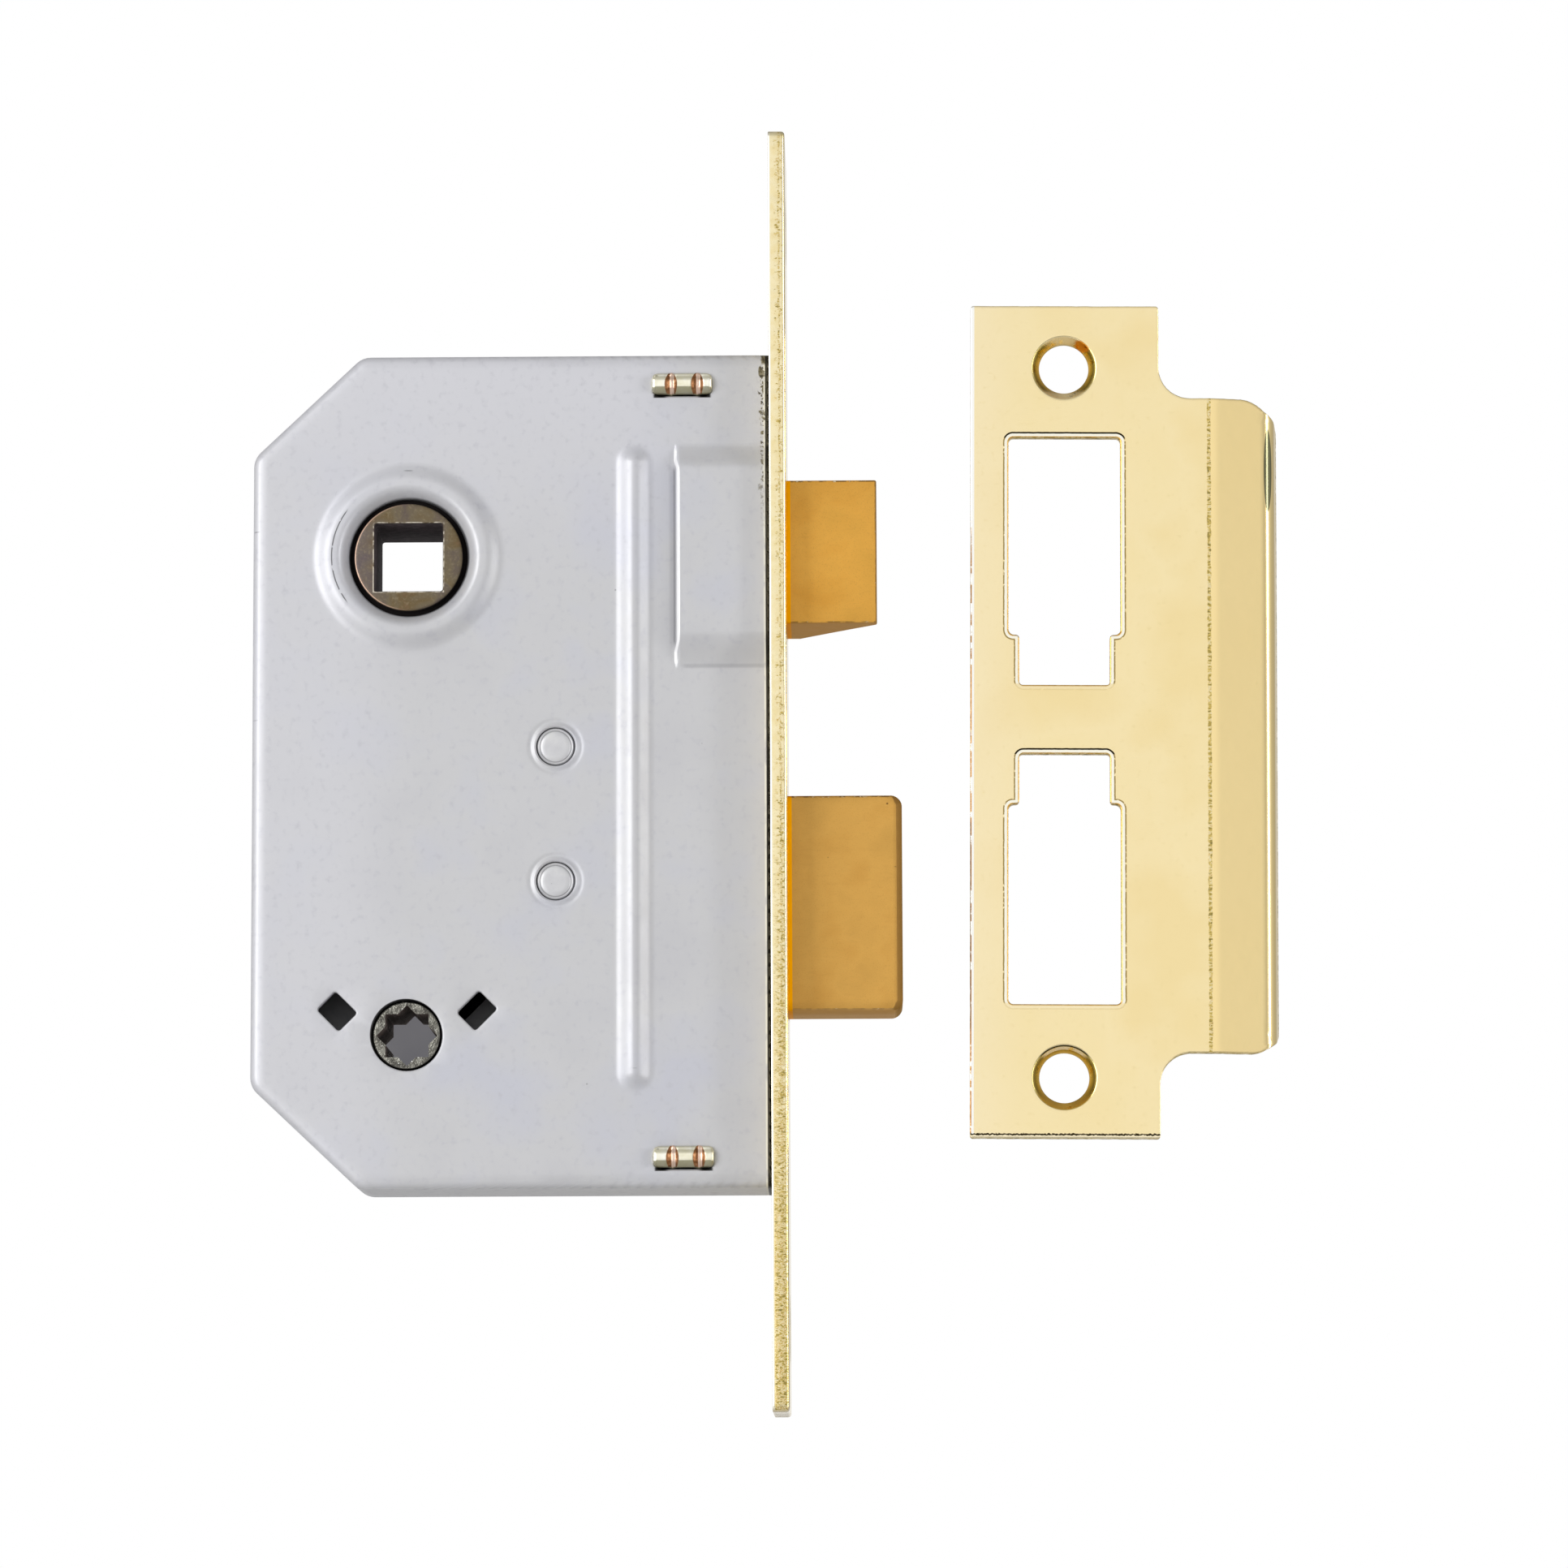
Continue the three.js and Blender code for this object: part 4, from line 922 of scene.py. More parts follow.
# ---- Materials ----
class Finish(Nodes):
    """A node material around one Principled shader, in the piece's own millimetre coordinates."""

    def __init__(self, name, roughness, metallic=0.0, lean=0.0, sockets=()):
        self.material = bpy.data.materials.new(name)
        super().__init__(self.material)
        sockets = {"Roughness": roughness, "Metallic": metallic, **dict(sockets)}
        self.shader = self.node("BsdfPrincipled", sockets)
        self.node("OutputMaterial", {"Surface": Value(self, self.shader.outputs[0])})
        place = self.value("TexCoord", output="Object")
        self.place = self.value("VectorMath", {0: place, "Scale": 1 / MM}, operation="SCALE")
        if lean:
            turn = {"Vector": self.place, "Center": STRIKE_MIDDLE, "Angle": -lean}
            self.place = self.value("VectorRotate", turn, rotation_type="Y_AXIS")
        self.x, self.y, self.z = self.split(self.place)
        self.facing = self.split(self.value("NewGeometry", output="True Normal"))

    def stretched(self, sx, sy, sz):
        return self.value("VectorMath", {0: self.place, 1: (sx, sy, sz)}, operation="MULTIPLY")

    def noise(self, scale, detail=3.0, vector=None, distortion=0.0):
        """Soft blotches, about one in each 1 / scale millimetres."""
        inputs = {"Vector": vector or self.place, "Scale": scale, "Detail": detail, "Distortion": distortion}
        return self.value("TexNoise", inputs, "Fac")

    def cells(self, scale, output="Distance", vector=None):
        """Separate cells, about one in each 1 / scale millimetres."""
        return self.value("TexVoronoi", {"Vector": vector or self.place, "Scale": scale}, output)

    def red(self, colour):
        return self.value("SeparateColor", {0: colour})

    def specks(self, scale, size, rarity, vector=None):
        """Small separate spots, of which only a few show."""
        spot = self.step(self.cells(scale, vector=vector), size, size * 0.5)
        return spot * self.step(self.red(self.cells(scale, "Color", vector)), rarity, rarity + 0.01)

    def step(self, value, low, high):
        """0 below low, 1 above high, smooth between; the other way round if low is above high."""
        ends = (0.0, 1.0) if low <= high else (1.0, 0.0)
        return self.remap(value, *ends, (min(low, high), max(low, high)), "SMOOTHSTEP")

    def near(self, value, at, half, soft):
        """1 where a value is within half of another, fading to 0 over the soft width."""
        return self.step(abs(value - at), half + soft, half)

    def sideways(self, axis, low, high):
        """1 on faces that look along an axis, either way."""
        return self.step(abs(self.facing[axis]), low, high)

    def length(self, u, v):
        return self.math("SQRT", u * u + v * v)

    def radius(self, centre):
        """The distance from an axis along Y."""
        return self.length(self.x - centre.x, self.z - centre.y)

    def most(self, *values, operation="MAXIMUM"):
        found = values[0]
        for value in values[1:]:
            found = self.math(operation, found, value)
        return found

    def least(self, *values):
        return self.most(*values, operation="MINIMUM")

    def layers(self, colour, *coats):
        """A colour under coats, each a mask and a tone: display values or another node colour."""
        for mask, tone in coats:
            tone = tone if isinstance(tone, Value) else linear(tone)
            colour = self.value("Mix", {"Factor": mask, "A": colour, "B": tone}, "Result", data_type="RGBA")
        return colour

    def set(self, colour, roughness=None, metallic=None, bump=None, specular=None):
        """The finished material. bump is a height, its strength and its distance in millimetres."""
        inputs = {"Base Color": colour, "Roughness": roughness, "Metallic": metallic}
        inputs["Specular IOR Level"] = specular
        if bump:
            height, strength, distance = bump
            bump = {"Strength": strength, "Distance": distance * MM, "Height": height}
            inputs["Normal"] = self.value("Bump", bump)
        for socket, value in inputs.items():
            if value is not None:
                self.put(value, self.shader.inputs[socket])
        return self.material


def case_paint():
    f = Finish("case_paint", 0.4, 0.25)
    toward_light = f.most(f.step(f.z, 18.0, 50.0), f.near(f.x, -58.0, 3.4, 12.0) * 0.6)
    dashes = f.specks(0.16, 0.08, 0.93, f.stretched(0.7, 1.0, 4.0))
    arc = f.near(f.radius(LEVER), 9.05, 0.03, 0.08) * f.step(f.x, LEVER.x - 7.0, LEVER.x - 7.5)
    arc = arc * f.step(f.noise(1.3, 2.0), 0.34, 0.42)
    half = (POCKET.top - POCKET.bottom) / 2
    up = abs(f.z - (POCKET.top + POCKET.bottom) / 2)
    # Painted shade: a dark line at the foot of the pocket's rear wall and a fainter one along the bottom of
    # its lower slope.
    pocket_foot_shade = f.near(f.x, POCKET_FOOT - 0.08, 0.07, 0.1) * f.step(up, half - 2.4, half - 3.2)
    pocket_low_shade = f.near(f.z, POCKET.bottom + 0.1, 0.08, 0.3) * f.step(f.x, POCKET.rear, POCKET.rear + 0.8)
    # Painted highlight: a white line along the top of the pocket's rear wall, hooked round at its ends.
    hooked = f.x + f.step(up, half - 3.2, half - 1.6) * 0.32
    pocket_highlight = f.near(hooked, POCKET.rear - 0.24, 0.12, 0.12) * f.step(up, half - 0.2, half - 0.9)
    # Painted shade: near-black rings just outside the two follower holes, and lines along the lower edge of
    # each foot's slot, strongest towards the slot's ends.
    inside = [f.step(f.radius(LEVER + Vector((0.09, 0.0))), LEVER_HOLE + 0.3, LEVER_HOLE) * 0.85,
              f.step(f.radius(TURN + Vector((-0.12, 0.1))), TURN_HOLE + 0.09, TURN_HOLE)]
    slot_middle, slot_half = (SLOT.x0 + SLOT.x1) / 2, (SLOT.x1 - SLOT.x0) / 2
    ends = 1.0 - f.near(f.x, slot_middle, 1.5, 0.8) * 0.75
    for node in FEET:
        sill = f.near(f.z, middle(node)[1] - SLOT.height / 2, 0.16, 0.08)
        inside.append(f.near(f.x, slot_middle, slot_half - 0.3, 0.3) * sill * ends)
    colour = f.layers(
        f.ramp(f.noise(0.09), [(0.3, (186, 186, 189)), (0.5, (190, 190, 192)), (0.7, (186, 187, 195))]),
        (toward_light * f.step(f.x, -8.0, -20.0), (196, 196, 201)),
        # Painted light: faces that look down, such as the bottom wall, lighter.
        (f.step(f.facing[2], -0.85, -0.97), (208, 208, 210)),
        (f.step(f.noise(1.1, 5.0), 0.5, 0.85) * 0.7, (174, 174, 181)),
        (f.most(f.specks(0.3, 0.045, 0.88), dashes) * 0.5, (92, 92, 96)),
        (arc * 0.85, (70, 70, 72)),
        # Painted shade lines along the pocket's rear wall and lower slope.
        (f.most(pocket_foot_shade * 0.5, pocket_low_shade * 0.24), (112, 112, 118)),
        # Painted highlight on the pocket's rear wall.
        (pocket_highlight * 0.85, (246, 246, 246)),
        *front_edge(f),
        # Painted shade in and round the holes and under the feet.
        (f.most(*inside), (26, 25, 26)),
    )
    peel = f.noise(2.6, 2.0) + f.noise(14.0, 2.0) * 0.25
    return f.set(colour, f.remap(f.noise(0.5), 0.34, 0.48), None, (peel, 0.12, 0.03))


def front_edge(f):
    """Coats of the sides' front edges: chipped paint, a bright line worn by rubbing and painted shade in the
    crevice.
    """
    x, high = CASE_FRONT, f.step(f.z, 26.0, 38.0)
    pale = f.step(f.x, x - 0.75, x - 0.6) * f.step(f.noise(0.7, 4.0, f.stretched(1.0, 1.0, 0.5)), 0.36, 0.5)
    flaked = f.near(f.x, x - 0.82, 0.1, 0.16) * f.step(f.noise(3.4, 5.0), 0.5, 0.56) * high
    patch = f.near(f.x, x - 0.85, 0.3, 0.25) * f.step(f.noise(0.75, 5.0), 0.6, 0.66) * high
    corner = f.step(f.z, CASE_HIGH.z - 1.5, CASE_HIGH.z - 1.1) * f.step(f.x, x - 1.0, x - 0.8)
    bare = f.ramp(f.noise(2.4), [(0.35, (52, 46, 38)), (0.5, (100, 92, 66)), (0.66, (134, 128, 110))])
    return [
        (pale * 0.8, (222, 221, 212)),
        (f.most(flaked, patch, corner), bare),
        # Painted shade: a near-black band along the front edge, in the crevice against the forend.
        (f.step(f.x, x - 0.52, x - 0.4), (12, 11, 9)),
    ]


def sheared(f, scale, lift=0.0):
    """The mottled plating of a sheared edge: cream, gold, olive and brown streaks."""
    return f.ramp(f.noise(scale, 4.0, f.stretched(1.0, 1.0, 2.3), 0.5) + lift, [
        (0.32, (126, 114, 54)), (0.41, (186, 160, 72)), (0.48, (226, 198, 110)),
        (0.55, (248, 236, 196)), (0.63, (222, 182, 88)), (0.72, (150, 128, 62)),
    ])


def brass(name, worn, lean=0.0):
    """Polished brass plate. worn adds the marks of its cut edges to the colour, and on the strike plate
    painted highlights and shade as well.
    """
    f = Finish(name, 0.16, 1.0, lean)
    marks = f.most(f.specks(0.3, 0.05, 0.9), f.specks(0.14, 0.09, 0.9, f.stretched(3.0, 1.0, 0.5)))
    face = f.layers(
        f.ramp(f.noise(0.07), [(0.35, (250, 230, 176)), (0.5, (251, 232, 181)), (0.68, (248, 226, 169))]),
        (f.step(f.x, STRIKE_LOW.x + 9.0, STRIKE_LOW.x) * 0.6, (252, 236, 196)),
        (f.step(f.noise(1.6, 5.0), 0.55, 0.8) * 0.3, (238, 214, 152)),
        (marks * 0.45, (160, 132, 74)),
    )
    colour, cut = worn(f, face)
    rough = f.remap(f.noise(0.4), 0.12, 0.2) + cut * 0.2
    height = f.noise(0.6, 2.0) + f.noise(9.0, 2.0) * 0.12 + f.noise(3.4, 4.0) * (cut * 1.6)
    return f.set(colour, rough, None, (height, 0.14, 0.05))


def forend_worn(f, face):
    """Rolled, smooth and torn bands of the sheared long edges; more torn towards the bottom."""
    side = f.sideways(1, 0.5, 0.8) * f.step(f.x, -0.04, -0.12)
    smooth = f.layers(f.ramp(f.noise(0.9), [(0.35, (245, 227, 174)), (0.6, (250, 236, 192))]),
                      (f.step(f.x, -1.7, -1.82), (253, 248, 228)))
    down = f.step(f.z, 22.0, -70.0)
    wander = (f.noise(0.9) - 0.5) * 0.5
    torn_line = f.near(f.x + wander, -0.75, 0.06, 0.12) * f.step(f.noise(3.0), 0.42, 0.5)
    spread = f.noise(1.7, 4.0, f.stretched(1.0, 1.0, 1.6)) + down * 0.24
    band = f.most(f.near(f.x, -0.8, 0.3, 0.4), down * f.near(f.x, -0.8, 0.8, 0.2))
    cut = side * f.most(torn_line, f.step(spread, 0.56, 0.64) * band)
    return f.layers(face, (side, smooth), (cut * 0.9, sheared(f, 2.6))), cut


def past_opening(f):
    """How far a point of the strike plate lies outside its nearest bolt opening, in millimetres."""
    across, up = abs(f.x - OPENING_X), abs(f.z - OPENING.middle)
    corner, boxes = 0.55, []
    for width, start in ((OPENING.narrow, OPENING_NEAR), (OPENING.wide, OPENING_STEP)):
        beside = f.most(across - (width / 2 - BURNISH - corner), 0.0)
        beyond = f.most(abs(up - (start + OPENING_FAR) / 2) - ((OPENING_FAR - start) / 2 - corner), 0.0)
        boxes.append(f.length(beside, beyond) - corner)
    return f.least(*boxes)


def countersinks(f, hub, x):
    """The gold cones of the strike plate's screw holes, each with its own painted highlights and shade."""
    above, below = [f.z - z for z in KEEP_HOLE.heights]
    cap = f.step(below, 2.2, 2.9) * f.step(f.z, -30.0, -31.0)
    # Painted light and shade: the cone's tone changes with the radius; pale highlights lie at the top and
    # bottom of the upper cone, with an orange spot beside it; gold lies at the foot of the lower cone, and a
    # cream highlight with a near-black shade line at its top.
    return f.layers(
        f.ramp(f.remap(hub, source=(KEEP_HOLE.r - 0.2, KEEP_HOLE.head + 0.2)), [
            (0.2, (236, 196, 96)), (0.4, (196, 162, 62)), (0.62, (132, 118, 54)), (0.8, (200, 184, 116)),
        ]),
        (f.step(abs(above), 2.5, 3.3) * f.step(f.z, 40.0, 41.0), (244, 224, 172)),
        (f.near(above, 2.7, 0.5, 0.3) * f.near(f.x, x + 2.2, 0.6, 0.4), (232, 150, 40)),
        (f.step(below, -1.4, -3.0) * f.step(f.z, -34.0, -36.0), (224, 184, 84)),
        (cap * f.near(hub, 3.55, 0.12, 0.08), (252, 240, 208)),
        (cap * f.step(hub, 3.72, 3.8), (30, 22, 6)),
    )


def strike_wear_and_light(f, face):
    """Sheared outer edges and openings, gold countersinks, and broken plating along the crease, with painted
    highlights and shade.
    """
    x, hole_x = STRIKE_LOW.x, STRIKE_LOW.x + KEEP_HOLE.x
    hub = f.least(*[f.radius(Vector((hole_x, z))) for z in KEEP_HOLE.heights])
    flat = f.step(f.x, CREASE + 3.0, CREASE + 2.0)
    ends = f.most(f.sideways(0, 0.35, 0.6) * flat, f.sideways(2, 0.35, 0.6))
    ends = ends * f.step(f.noise(1.1), 0.34, 0.46)
    wander = (f.noise(1.6) - 0.5) * 0.35
    crease = f.near(f.x + wander, CREASE, 0.16, 0.1) * f.step(f.noise(2.6, 4.0), 0.33, 0.4)
    brown = f.step(f.x, x + 0.2, x + 0.13) * f.step(f.z, 34.0, 26.0) * f.step(f.noise(0.9), 0.36, 0.46)
    above_foot = f.z + (f.noise(3.4) - 0.5) * 0.45 - STRIKE_FOOT
    out = past_opening(f) + wander * 0.25
    upper, lower = OPENING.middle + OPENING_NEAR, OPENING.middle - OPENING_NEAR
    top, bottom = OPENING.middle + OPENING_FAR, OPENING.middle - OPENING_FAR
    roof = f.most(f.step(f.z, top - 0.1, top),
                  f.step(f.z, lower - 0.1, lower) * f.step(f.z, lower + 1.4, lower + 1.2))
    sill = f.most(f.step(f.z, upper + 0.3, upper) * f.step(f.z, upper - 1.4, upper - 1.2),
                  f.step(f.z, bottom + 0.3, bottom))
    shown = 1.0 - sill * 0.85
    torn_rim = f.near(out, 0.56, 0.06, 0.07) * f.step(f.noise(2.6, 4.0), 0.34, 0.44) * shown
    end = LIP_EDGE - f.x
    over = f.step(end, 0.12, 0.05) * f.step(f.noise(1.6, 4.0), 0.38, 0.46)
    bend, along = (f.x - (LIP_EDGE - 1.15)) / 0.5, (f.z - 38.0) / 5.2
    stain = f.step(bend * bend + along * along, 1.0, 0.88)
    cut = f.most(ends, crease, over)
    return f.layers(
        face,
        # Painted highlight: a white band along the plate's left edge.
        (f.step(f.x, x + 0.5, x + 0.4), (255, 254, 248)),
        (brown, (168, 112, 50)),
        (f.step(above_foot, 0.5, 0.4), (252, 238, 202)),
        (f.near(above_foot, 0.48, 0.07, 0.07), (40, 32, 10)),
        (torn_rim * 0.85, (140, 112, 34)),
        # Painted shade: a near-black line along the openings' upper edges, which look down.
        (f.near(out, 0.56, 0.1, 0.06) * roof, (34, 27, 6)),
        # Painted highlight: a white band round each opening, faint along their lower edges.
        (f.near(out, 0.32, 0.13, 0.06) * shown, (255, 251, 234)),
        (f.step(out, 0.18, 0.12), (226, 176, 92)),
        # Painted highlight: a white line along the curled lip near its farthest edge.
        (f.near(end, 0.25, 0.07, 0.08) * 0.9, (255, 251, 238)),
        (f.step(f.x, CREASE + 0.1, CREASE + 0.3) * 0.85, (255, 229, 165)),
        (stain * 0.9, (100, 105, 82)),
        (cut * 0.9, sheared(f, 1.3, -0.03)),
        (f.step(hub, KEEP_HOLE.head + 0.1, KEEP_HOLE.head), countersinks(f, hub, hole_x)),
    ), cut


def bolt_finish(name, tones, dull_and_shade, low, high):
    """Lacquered zinc: a painted orange reflection at the root, painted shade towards the root, on the rougher
    end and on the underside, and edges worn by rubbing.
    """
    f = Finish(name, 0.4, 0.85, sockets={"Specular Tint": (1.0, 0.74, 0.42, 1.0)})
    marks = f.most(f.specks(0.42, 0.07, 0.78), f.specks(0.3, 0.08, 0.88, f.stretched(0.5, 1.0, 2.6)))
    rim = f.most(f.near(f.z, low.z - UNDERSIDE + 0.12, 0.05, 0.1), f.near(f.z, high.z - 0.12, 0.05, 0.1),
                 f.near(f.x, high.x - 0.12, 0.04, 0.08))
    rim = rim * f.step(f.noise(1.2, 4.0), 0.4, 0.55) * f.sideways(1, 0.2, 0.6)
    # nose marks the end faces, painted darker as shade and given more roughness; root marks the last half
    # millimetre by the forend, painted orange as a reflection of it.
    nose, root = f.step(f.facing[0], 0.2, 0.6), f.step(f.x, 0.5, 0.44)
    colour = f.layers(
        f.ramp(f.noise(0.16), list(zip((0.3, 0.5, 0.72), tones))),
        (f.step(f.noise(2.2, 5.0, f.stretched(0.35, 1.0, 1.4)), 0.5, 0.8) * 0.18, dull_and_shade),
        # Painted shade: darker towards the root.
        (f.step(f.x, 3.4, 0.4) * 0.12, dull_and_shade),
        (f.step(f.noise(7.0, 2.0), 0.55, 0.7) * 0.2, (150, 104, 48)),
        (marks * 0.8, (90, 60, 30)),
        (rim * 0.75, (112, 80, 42)),
        (rim * f.step(f.noise(1.7), 0.6, 0.66), (226, 206, 166)),
        # Painted shade: faces that look down darker.
        (f.step(f.facing[2], -0.3, -0.8) * 0.85, (200, 158, 98)),
        # Painted shade on the end faces, then a painted orange reflection of the forend at the root.
        (nose, (156, 118, 60)),
        (root, (255, 174, 0)),
    )
    rough = f.remap(f.noise(0.7), 0.36, 0.5) + nose * 0.2
    cast = f.noise(1.4) + f.noise(8.0) * 0.5
    return f.set(colour, rough, root * 0.2 + 0.8, (cast, 0.14, 0.05))


def follower_bronze():
    f = Finish("follower_bronze", 0.42, 0.85)
    half, r = LEVER_SQUARE / 2, f.radius(LEVER)
    out = f.most(abs(f.x - LEVER.x), abs(f.z - LEVER.y))
    burr = f.near(out, half + 0.1, 0.03, 0.07) * f.step(f.noise(1.6), 0.36, 0.6)
    bore = f.step(out, half + 0.05, half + 0.01) * f.sideways(1, 0.6, 0.2)
    # Painted highlight: a pale line round the left part of the hub's edge.
    rim = f.near(r, LEVER_R - 0.12, 0.03, 0.08) * f.step(f.x, LEVER.x + 1.0, LEVER.x - 4.0)
    # edge is the hub's side in the gap round it: painted near-black shade, with grease.
    edge = f.step(r, LEVER_R - 0.06, LEVER_R + 0.02)
    shade = f.most(bore, edge)
    colour = f.layers(
        f.ramp(f.noise(0.32, 4.0, distortion=0.5), [
            (0.32, (92, 81, 79)), (0.48, (110, 99, 79)), (0.6, (106, 90, 63)), (0.74, (126, 94, 73)),
        ]),
        (f.step(f.x, LEVER.x - 2.5, LEVER.x - 6.0) * 0.5, (108, 98, 103)),
        (f.step(f.noise(3.2, 4.0), 0.5, 0.8) * 0.45, (150, 136, 108)),
        (burr, (206, 198, 182)),
        # Painted highlight on the hub's edge.
        (rim * 0.6, (212, 176, 152)),
        (shade, f.ramp(f.noise(1.2), [(0.4, (66, 58, 60)), (0.65, (84, 75, 77))])),
        # Painted shade, with grease, in the gap round the hub.
        (edge, (24, 20, 20)),
    )
    rough = f.remap(f.noise(2.0), 0.34, 0.55) + shade * 0.35
    return f.set(colour, rough, 0.85 - shade * 0.85, (f.noise(3.4, 4.0), 0.3, 0.05), 0.5 - shade * 0.4)


def follower_zinc():
    f = Finish("follower_zinc", 0.35, 0.9)
    bore = f.step(f.radius(TURN), 3.72, 3.6) * f.sideways(1, 0.6, 0.2)
    # Painted shade: edge darkens the hub's side in the gap round it, off-centre so that the ring is wider at
    # the right and bottom.
    edge = f.step(f.radius(TURN + Vector((-0.1, 0.08))), TURN_R + 0.01, TURN_R + 0.05)
    shade = f.most(bore, edge)
    colour = f.layers(
        f.ramp(f.noise(1.3, 4.0), [(0.32, (82, 80, 75)), (0.5, (114, 112, 105)), (0.66, (148, 147, 138))]),
        # Painted glints: small white specks on the zinc.
        (f.specks(2.6, 0.22, 0.68), (236, 236, 230)),
        (shade, f.ramp(f.noise(1.6), [(0.4, (84, 74, 70)), (0.65, (104, 93, 88))])),
        # Painted near-black shade in the gap round the hub.
        (edge, (10, 9, 9)),
    )
    rough = f.remap(f.noise(4.0, 2.0), 0.22, 0.5) + shade * 0.4
    crystals = f.noise(3.0, 5.0) + f.cells(5.0) * 0.5
    return f.set(colour, rough, 0.9 - shade * 0.9, (crystals, 0.75, 0.12), 0.5 - shade * 0.47)


def brass_foot():
    f = Finish("brass_foot", 0.34, 0.75)
    # sunk marks the parts inside the slots, which are painted near-black as shade.
    proud, sunk = f.step(abs(f.y), FACE - 0.1, FACE + 0.05), f.step(abs(f.y), FACE - 0.15, FACE - 0.35)
    lens = []
    for node in FEET:
        off = (f.z - middle(node)[1]) / 2.1
        lens += [f.step(abs(f.x - x) + off * off, 0.8, 0.7) for x in STAKES]
    # Painted highlight: a pale line along the ridge of each stake mark.
    ridges = f.most(*[f.near(f.x, x + 0.12, 0.17, 0.12) for x in STAKES]) * proud
    tint = f.ramp(f.noise(2.2), [(0.35, (112, 74, 44)), (0.55, (142, 96, 60)), (0.7, (176, 130, 94))])
    colour = f.layers(
        f.ramp(f.noise(0.8), [(0.3, (234, 229, 200)), (0.5, (248, 244, 223)), (0.68, (254, 252, 241))]),
        # Painted shade: faces that look down olive, and faces that look up greyer.
        (f.step(f.facing[2], -0.12, -0.4) * 0.75, (128, 122, 84)),
        (f.step(f.facing[2], 0.2, 0.5) * 0.5, (176, 170, 132)),
        (f.most(*lens) * proud, tint),
        # Painted highlight on the stake ridges.
        (ridges * 0.85, (234, 208, 190)),
        # Painted shade inside the slots.
        (sunk, (24, 21, 16)),
    )
    return f.set(colour, f.remap(f.noise(1.5), 0.28, 0.46), 0.75 - sunk * 0.6, (f.noise(2.4), 0.25, 0.06))


def plated_steel(name, dark, light, roughness):
    """Zinc plated steel: crystalline patches, drawn scratches and small dark spots."""
    f = Finish(name, roughness, 0.9)
    tone = f.noise(0.5, 4.0) * 0.75 + f.red(f.cells(0.45, "Color")) * 0.25
    scratch = f.step(abs(f.noise(0.3, 1.5, distortion=0.6) - 0.5), 0.004, 0.0012)
    scratch = scratch * f.step(f.noise(0.51, 0.0), 0.55, 0.58)
    pits = [c * 0.648 for c in dark]  # two fifths of the light that the dark patches give back
    marks = f.most(scratch, f.specks(0.8, 0.1, 0.85))
    colour = f.layers(f.ramp(tone, [(0.3, dark), (0.65, light)]), (marks * 0.6, pits))
    drawn = f.noise(1.8, 4.0, f.stretched(0.25, 1.6, 1.6))
    return f.set(colour, f.remap(f.noise(1.1), roughness - 0.08, roughness + 0.1), None, (drawn, 0.2, 0.04))


def post_paint():
    """The case's paint where it's been squeezed and rubbed on a riveted post end."""
    f = Finish("post_paint", 0.36, 0.3)
    radii = [f.radius(centre) for centre in POSTS]
    # Painted shade: faint dark rings in the groove of each head and dark rings in the gap round it.
    rings = [f.near(r, 1.85, 0.03, 0.08) * 0.4 for r in radii]
    gap = f.least(*[f.step(r, POST_HOLE - 0.16, POST_HOLE - 0.06) for r in radii])
    colour = f.layers(
        f.ramp(f.noise(0.7, 4.0), [(0.3, (190, 190, 193)), (0.55, (197, 197, 199)), (0.7, (202, 202, 202))]),
        (f.specks(1.4, 0.1, 0.8) * 0.5, (120, 120, 122)),
        # Painted shade in the grooves and gaps.
        (f.most(*rings, gap), (84, 84, 88)),
    )
    return f.set(colour, f.remap(f.noise(1.5), 0.3, 0.46), None, (f.noise(3.0), 0.15, 0.04))


# ---- Surroundings ----
def sheet(name, corners, material):
    """A four-cornered sheet of the setting."""
    mesh = bpy.data.meshes.new(name)
    mesh.from_pydata(corners, [], [(0, 1, 2, 3)])
    mesh.materials.append(material)
    thing = added(name, mesh)
    return thing


def floor():
    size, down = 4.0, -0.45
    f = Finish("floor_finish", 0.8)
    pale = f.set(f.ramp(f.noise(0.02, 2.0), [(0.3, (222, 222, 222)), (0.7, (230, 230, 230))]))
    sheet("floor", [(u, v, down) for u, v in box_outline(-size, size, -size, size)], pale)


def card():
    """The plain grey that shows through the bathroom follower's star hole, a painted stand-in for shade
    behind the lock:
    a small glowing card just behind it, which only the camera sees, and only from the front."""
    eye = bpy.context.scene.camera.location
    hub = Vector((TURN.x, 0, TURN.y)) * MM
    behind, half = 0.0135, 0.0048
    centre = hub + (hub - eye).normalized() * behind
    f = Finish("card_grey", 1.0, sockets={"Emission Strength": 1.0})
    glow = f.ramp(f.noise(0.2, 2.0), [(0.3, (101, 100, 104)), (0.7, (107, 106, 109))])
    f.put(glow, f.shader.inputs["Emission Color"])
    f.put(1.0 - f.value("NewGeometry", output="Backfacing"), f.shader.inputs["Alpha"])
    black = f.set((0.0, 0.0, 0.0, 1.0))
    corners = box_outline(-half, half, -half, half)
    thing = sheet("card", [centre + Vector((u, 0, v)) for u, v in corners], black)
    for ray in ("diffuse", "glossy", "transmission", "volume_scatter", "shadow"):
        setattr(thing, "visible_" + ray, False)


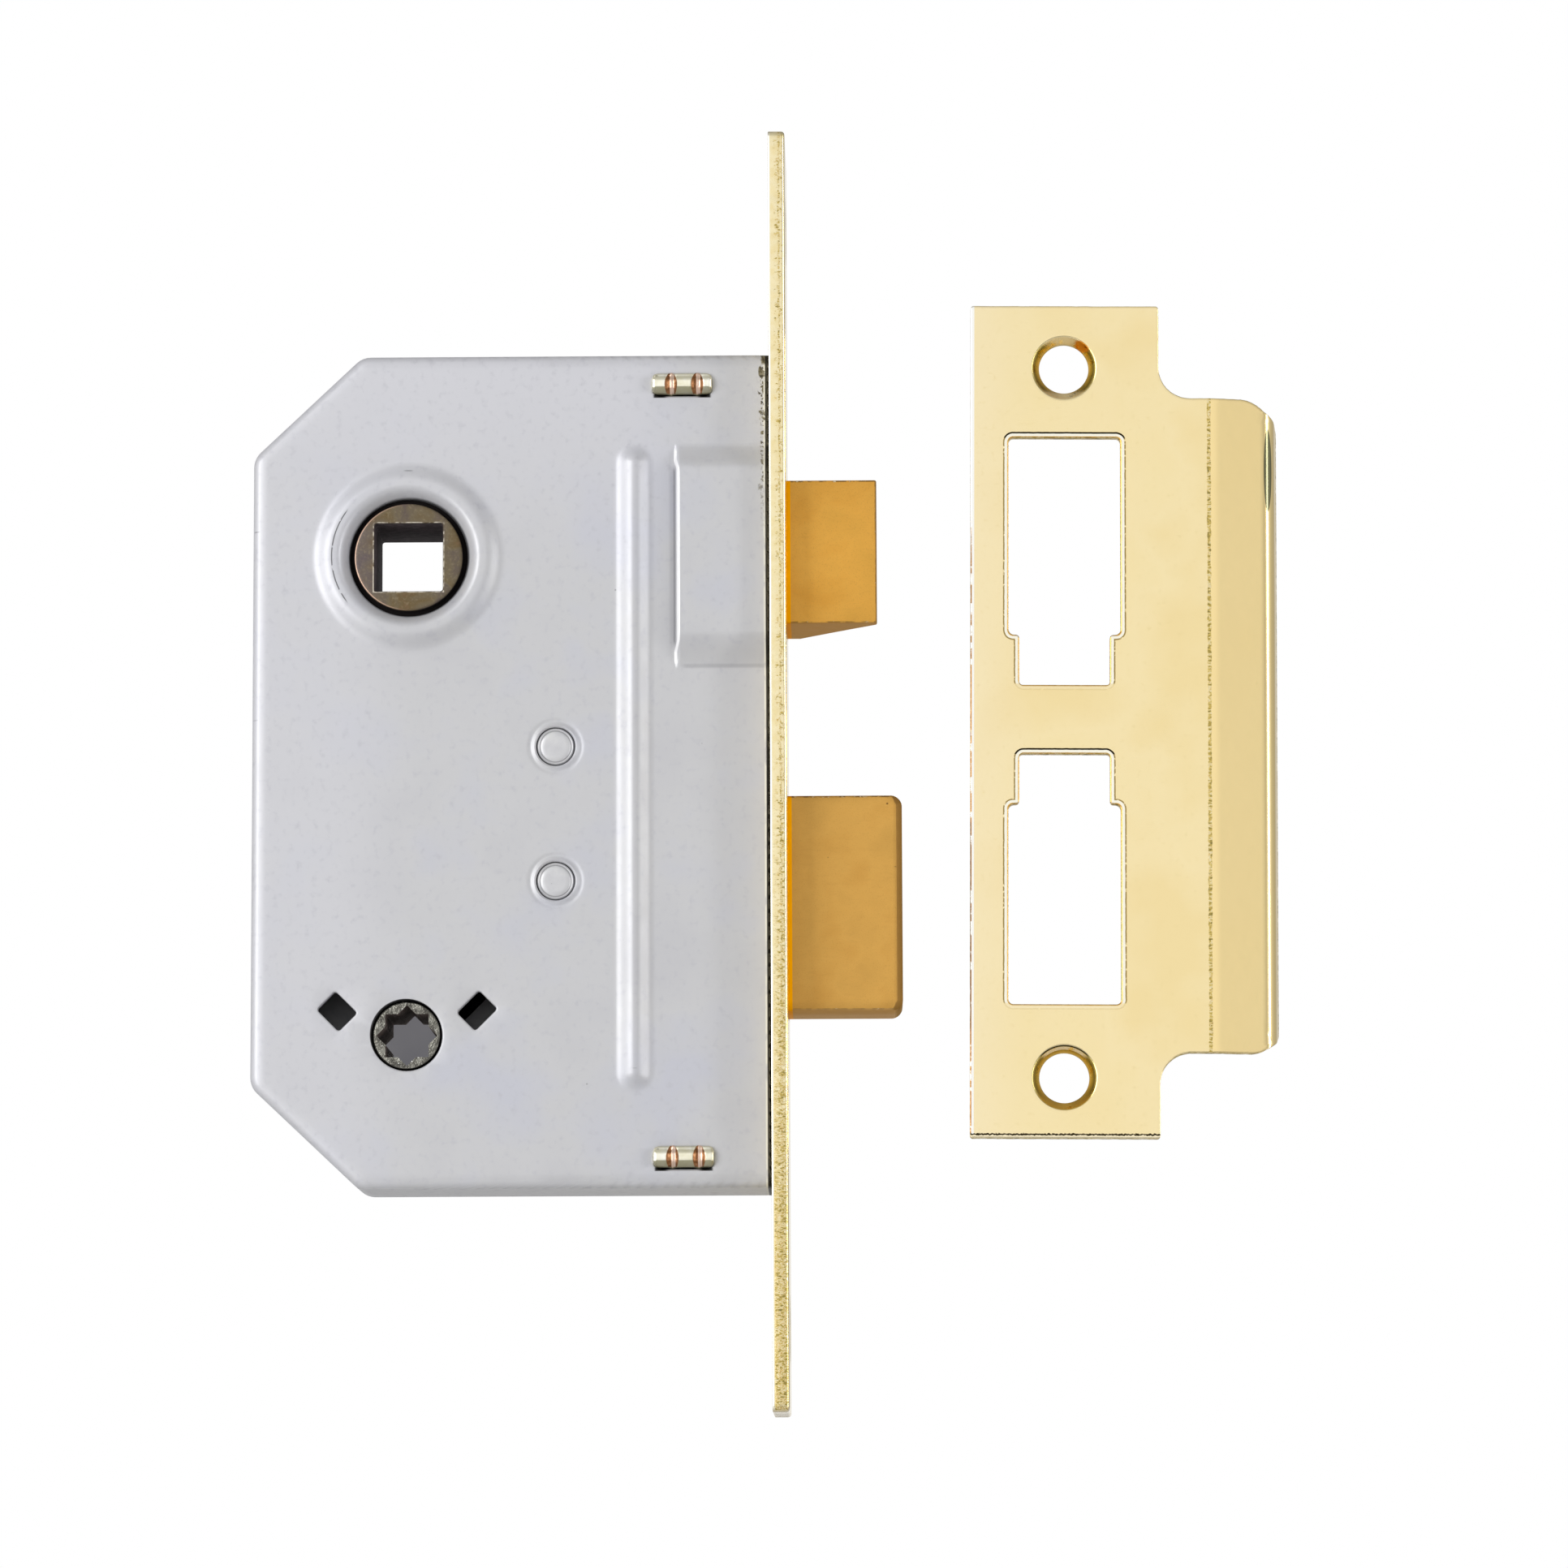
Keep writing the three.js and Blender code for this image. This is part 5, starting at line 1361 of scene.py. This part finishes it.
def studio():
    """A soft white room: brighter at the left, with a dimmer stretch just right of the camera."""
    world = bpy.data.worlds.new("studio")
    bpy.context.scene.world = world
    w = Nodes(world)
    x, y, z = w.split(w.value("TexCoord", output="Generated"))
    bearing = w.remap(w.math("ARCTAN2", x, y * -1.0), source=(-math.pi, math.pi))
    bearings = [
        (-180, 1.0), (-165, 0.9), (-150, 0.35), (-112, 0.4), (-92, 1.0), (-60, 1.5), (-30, 1.35),
        (-10, 1.0), (6, 0.97), (24, 0.98), (36, 0.48), (47, 0.52), (66, 1.2), (86, 0.5), (150, 0.4),
        (165, 0.9), (180, 1.0),
    ]
    heights = [(-1.0, 0.56), (-0.3, 0.88), (-0.1, 1.0), (0.25, 0.95), (0.5, 0.62), (1.0, 0.5)]
    around = w.ramp(bearing, [(angle / 360 + 0.5, light) for angle, light in bearings], "B_SPLINE")
    up = w.ramp(w.remap(z, source=(-1.0, 1.0)), [(height / 2 + 0.5, light) for height, light in heights])
    room = w.value("VectorMath", {0: around, 1: up}, operation="MULTIPLY")
    glow, white = [w.value("Background", {"Color": colour}) for colour in (room, (1.0, 1.0, 1.0, 1.0))]
    seen = w.value("LightPath", output="Is Camera Ray")
    w.node("OutputWorld", {"Surface": w.value("MixShader", {0: seen, 1: glow, 2: white})})


def softbox(name, place, size, power):
    """A rectangular light that points at the middle of the lock."""
    light = bpy.data.lights.new(name, "AREA")
    light.shape = "RECTANGLE"
    light.size, light.size_y = size
    light.energy = power
    thing = added(name, light)
    thing.location = place
    thing.rotation_euler = (-Vector(place)).to_track_quat("-Z", "Y").to_euler()


def camera():
    """Square on to the case's flat side and a little below it, with a long lens."""
    azimuth, elevation, roll = math.radians(0.59), math.radians(-7.36), math.radians(-0.24)
    distance = 0.7665
    target = Vector((-0.41, -FACE, -2.04)) * MM
    away = Vector((
        math.sin(azimuth) * math.cos(elevation),
        -math.cos(azimuth) * math.cos(elevation),
        math.sin(elevation),
    ))
    lens = bpy.data.cameras.new("camera")
    lens.sensor_width = 36.0
    lens.lens = 149.0
    lens.clip_start, lens.clip_end = 0.05, 20.0
    thing = added("camera", lens)
    thing.location = target + away * distance
    thing.rotation_euler = (-away).to_track_quat("-Z", "Y").to_matrix().to_4x4().to_euler()
    thing.rotation_euler.rotate_axis("Z", roll)
    bpy.context.scene.camera = thing


# ---- The whole scene ----
bpy.context.scene.view_settings.view_transform = "Standard"
camera()
studio()
floor()
card()
softbox("key_left", (-0.8, -0.75, 0.12), (0.7, 0.9), 8.2)
softbox("fill_right", (0.95, -0.52, 0.0), (0.16, 0.8), 3.0)

PAINT = case_paint()
case_shell(PAINT)
cover_plate(PAINT)
forend(brass("forend_brass", forend_worn))
FOOT = brass_foot()
foot("forend_foot_upper", "foot_upper", FOOT)
foot("forend_foot_lower", "foot_lower", FOOT)
latch_head(bolt_finish("latch_lacquer", [(219, 165, 73), (228, 171, 77), (218, 158, 65)], (200, 148, 68),
                       LATCH_LOW, LATCH_HIGH))
bolt_head(bolt_finish("bolt_lacquer", [(204, 157, 80), (213, 164, 84), (203, 152, 74)], (186, 140, 72),
                      BOLT_LOW, BOLT_HIGH))
lever_follower(follower_bronze())
turn_follower(follower_zinc())
POST_END = post_paint()
post("post_upper", "guide_post_upper", POSTS[0], POST_END)
post("post_lower", "guide_post_lower", POSTS[1], POST_END)
strike(brass("strike_brass", strike_wear_and_light, lean=LEAN))

STEEL = plated_steel("plain_steel", (128, 130, 132), (176, 178, 180), 0.38)
SPRING = plated_steel("spring_steel", (88, 90, 94), (138, 140, 146), 0.28)
SPRINGS = ("return_spring", "latch_spring", "detent_leaf", "stem_clip_front", "stem_clip_rear")
for node_name, node_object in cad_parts.items():
    if not node_object.hide_render:
        finish_piece(node_object, SPRING if node_name in SPRINGS else STEEL, 32)
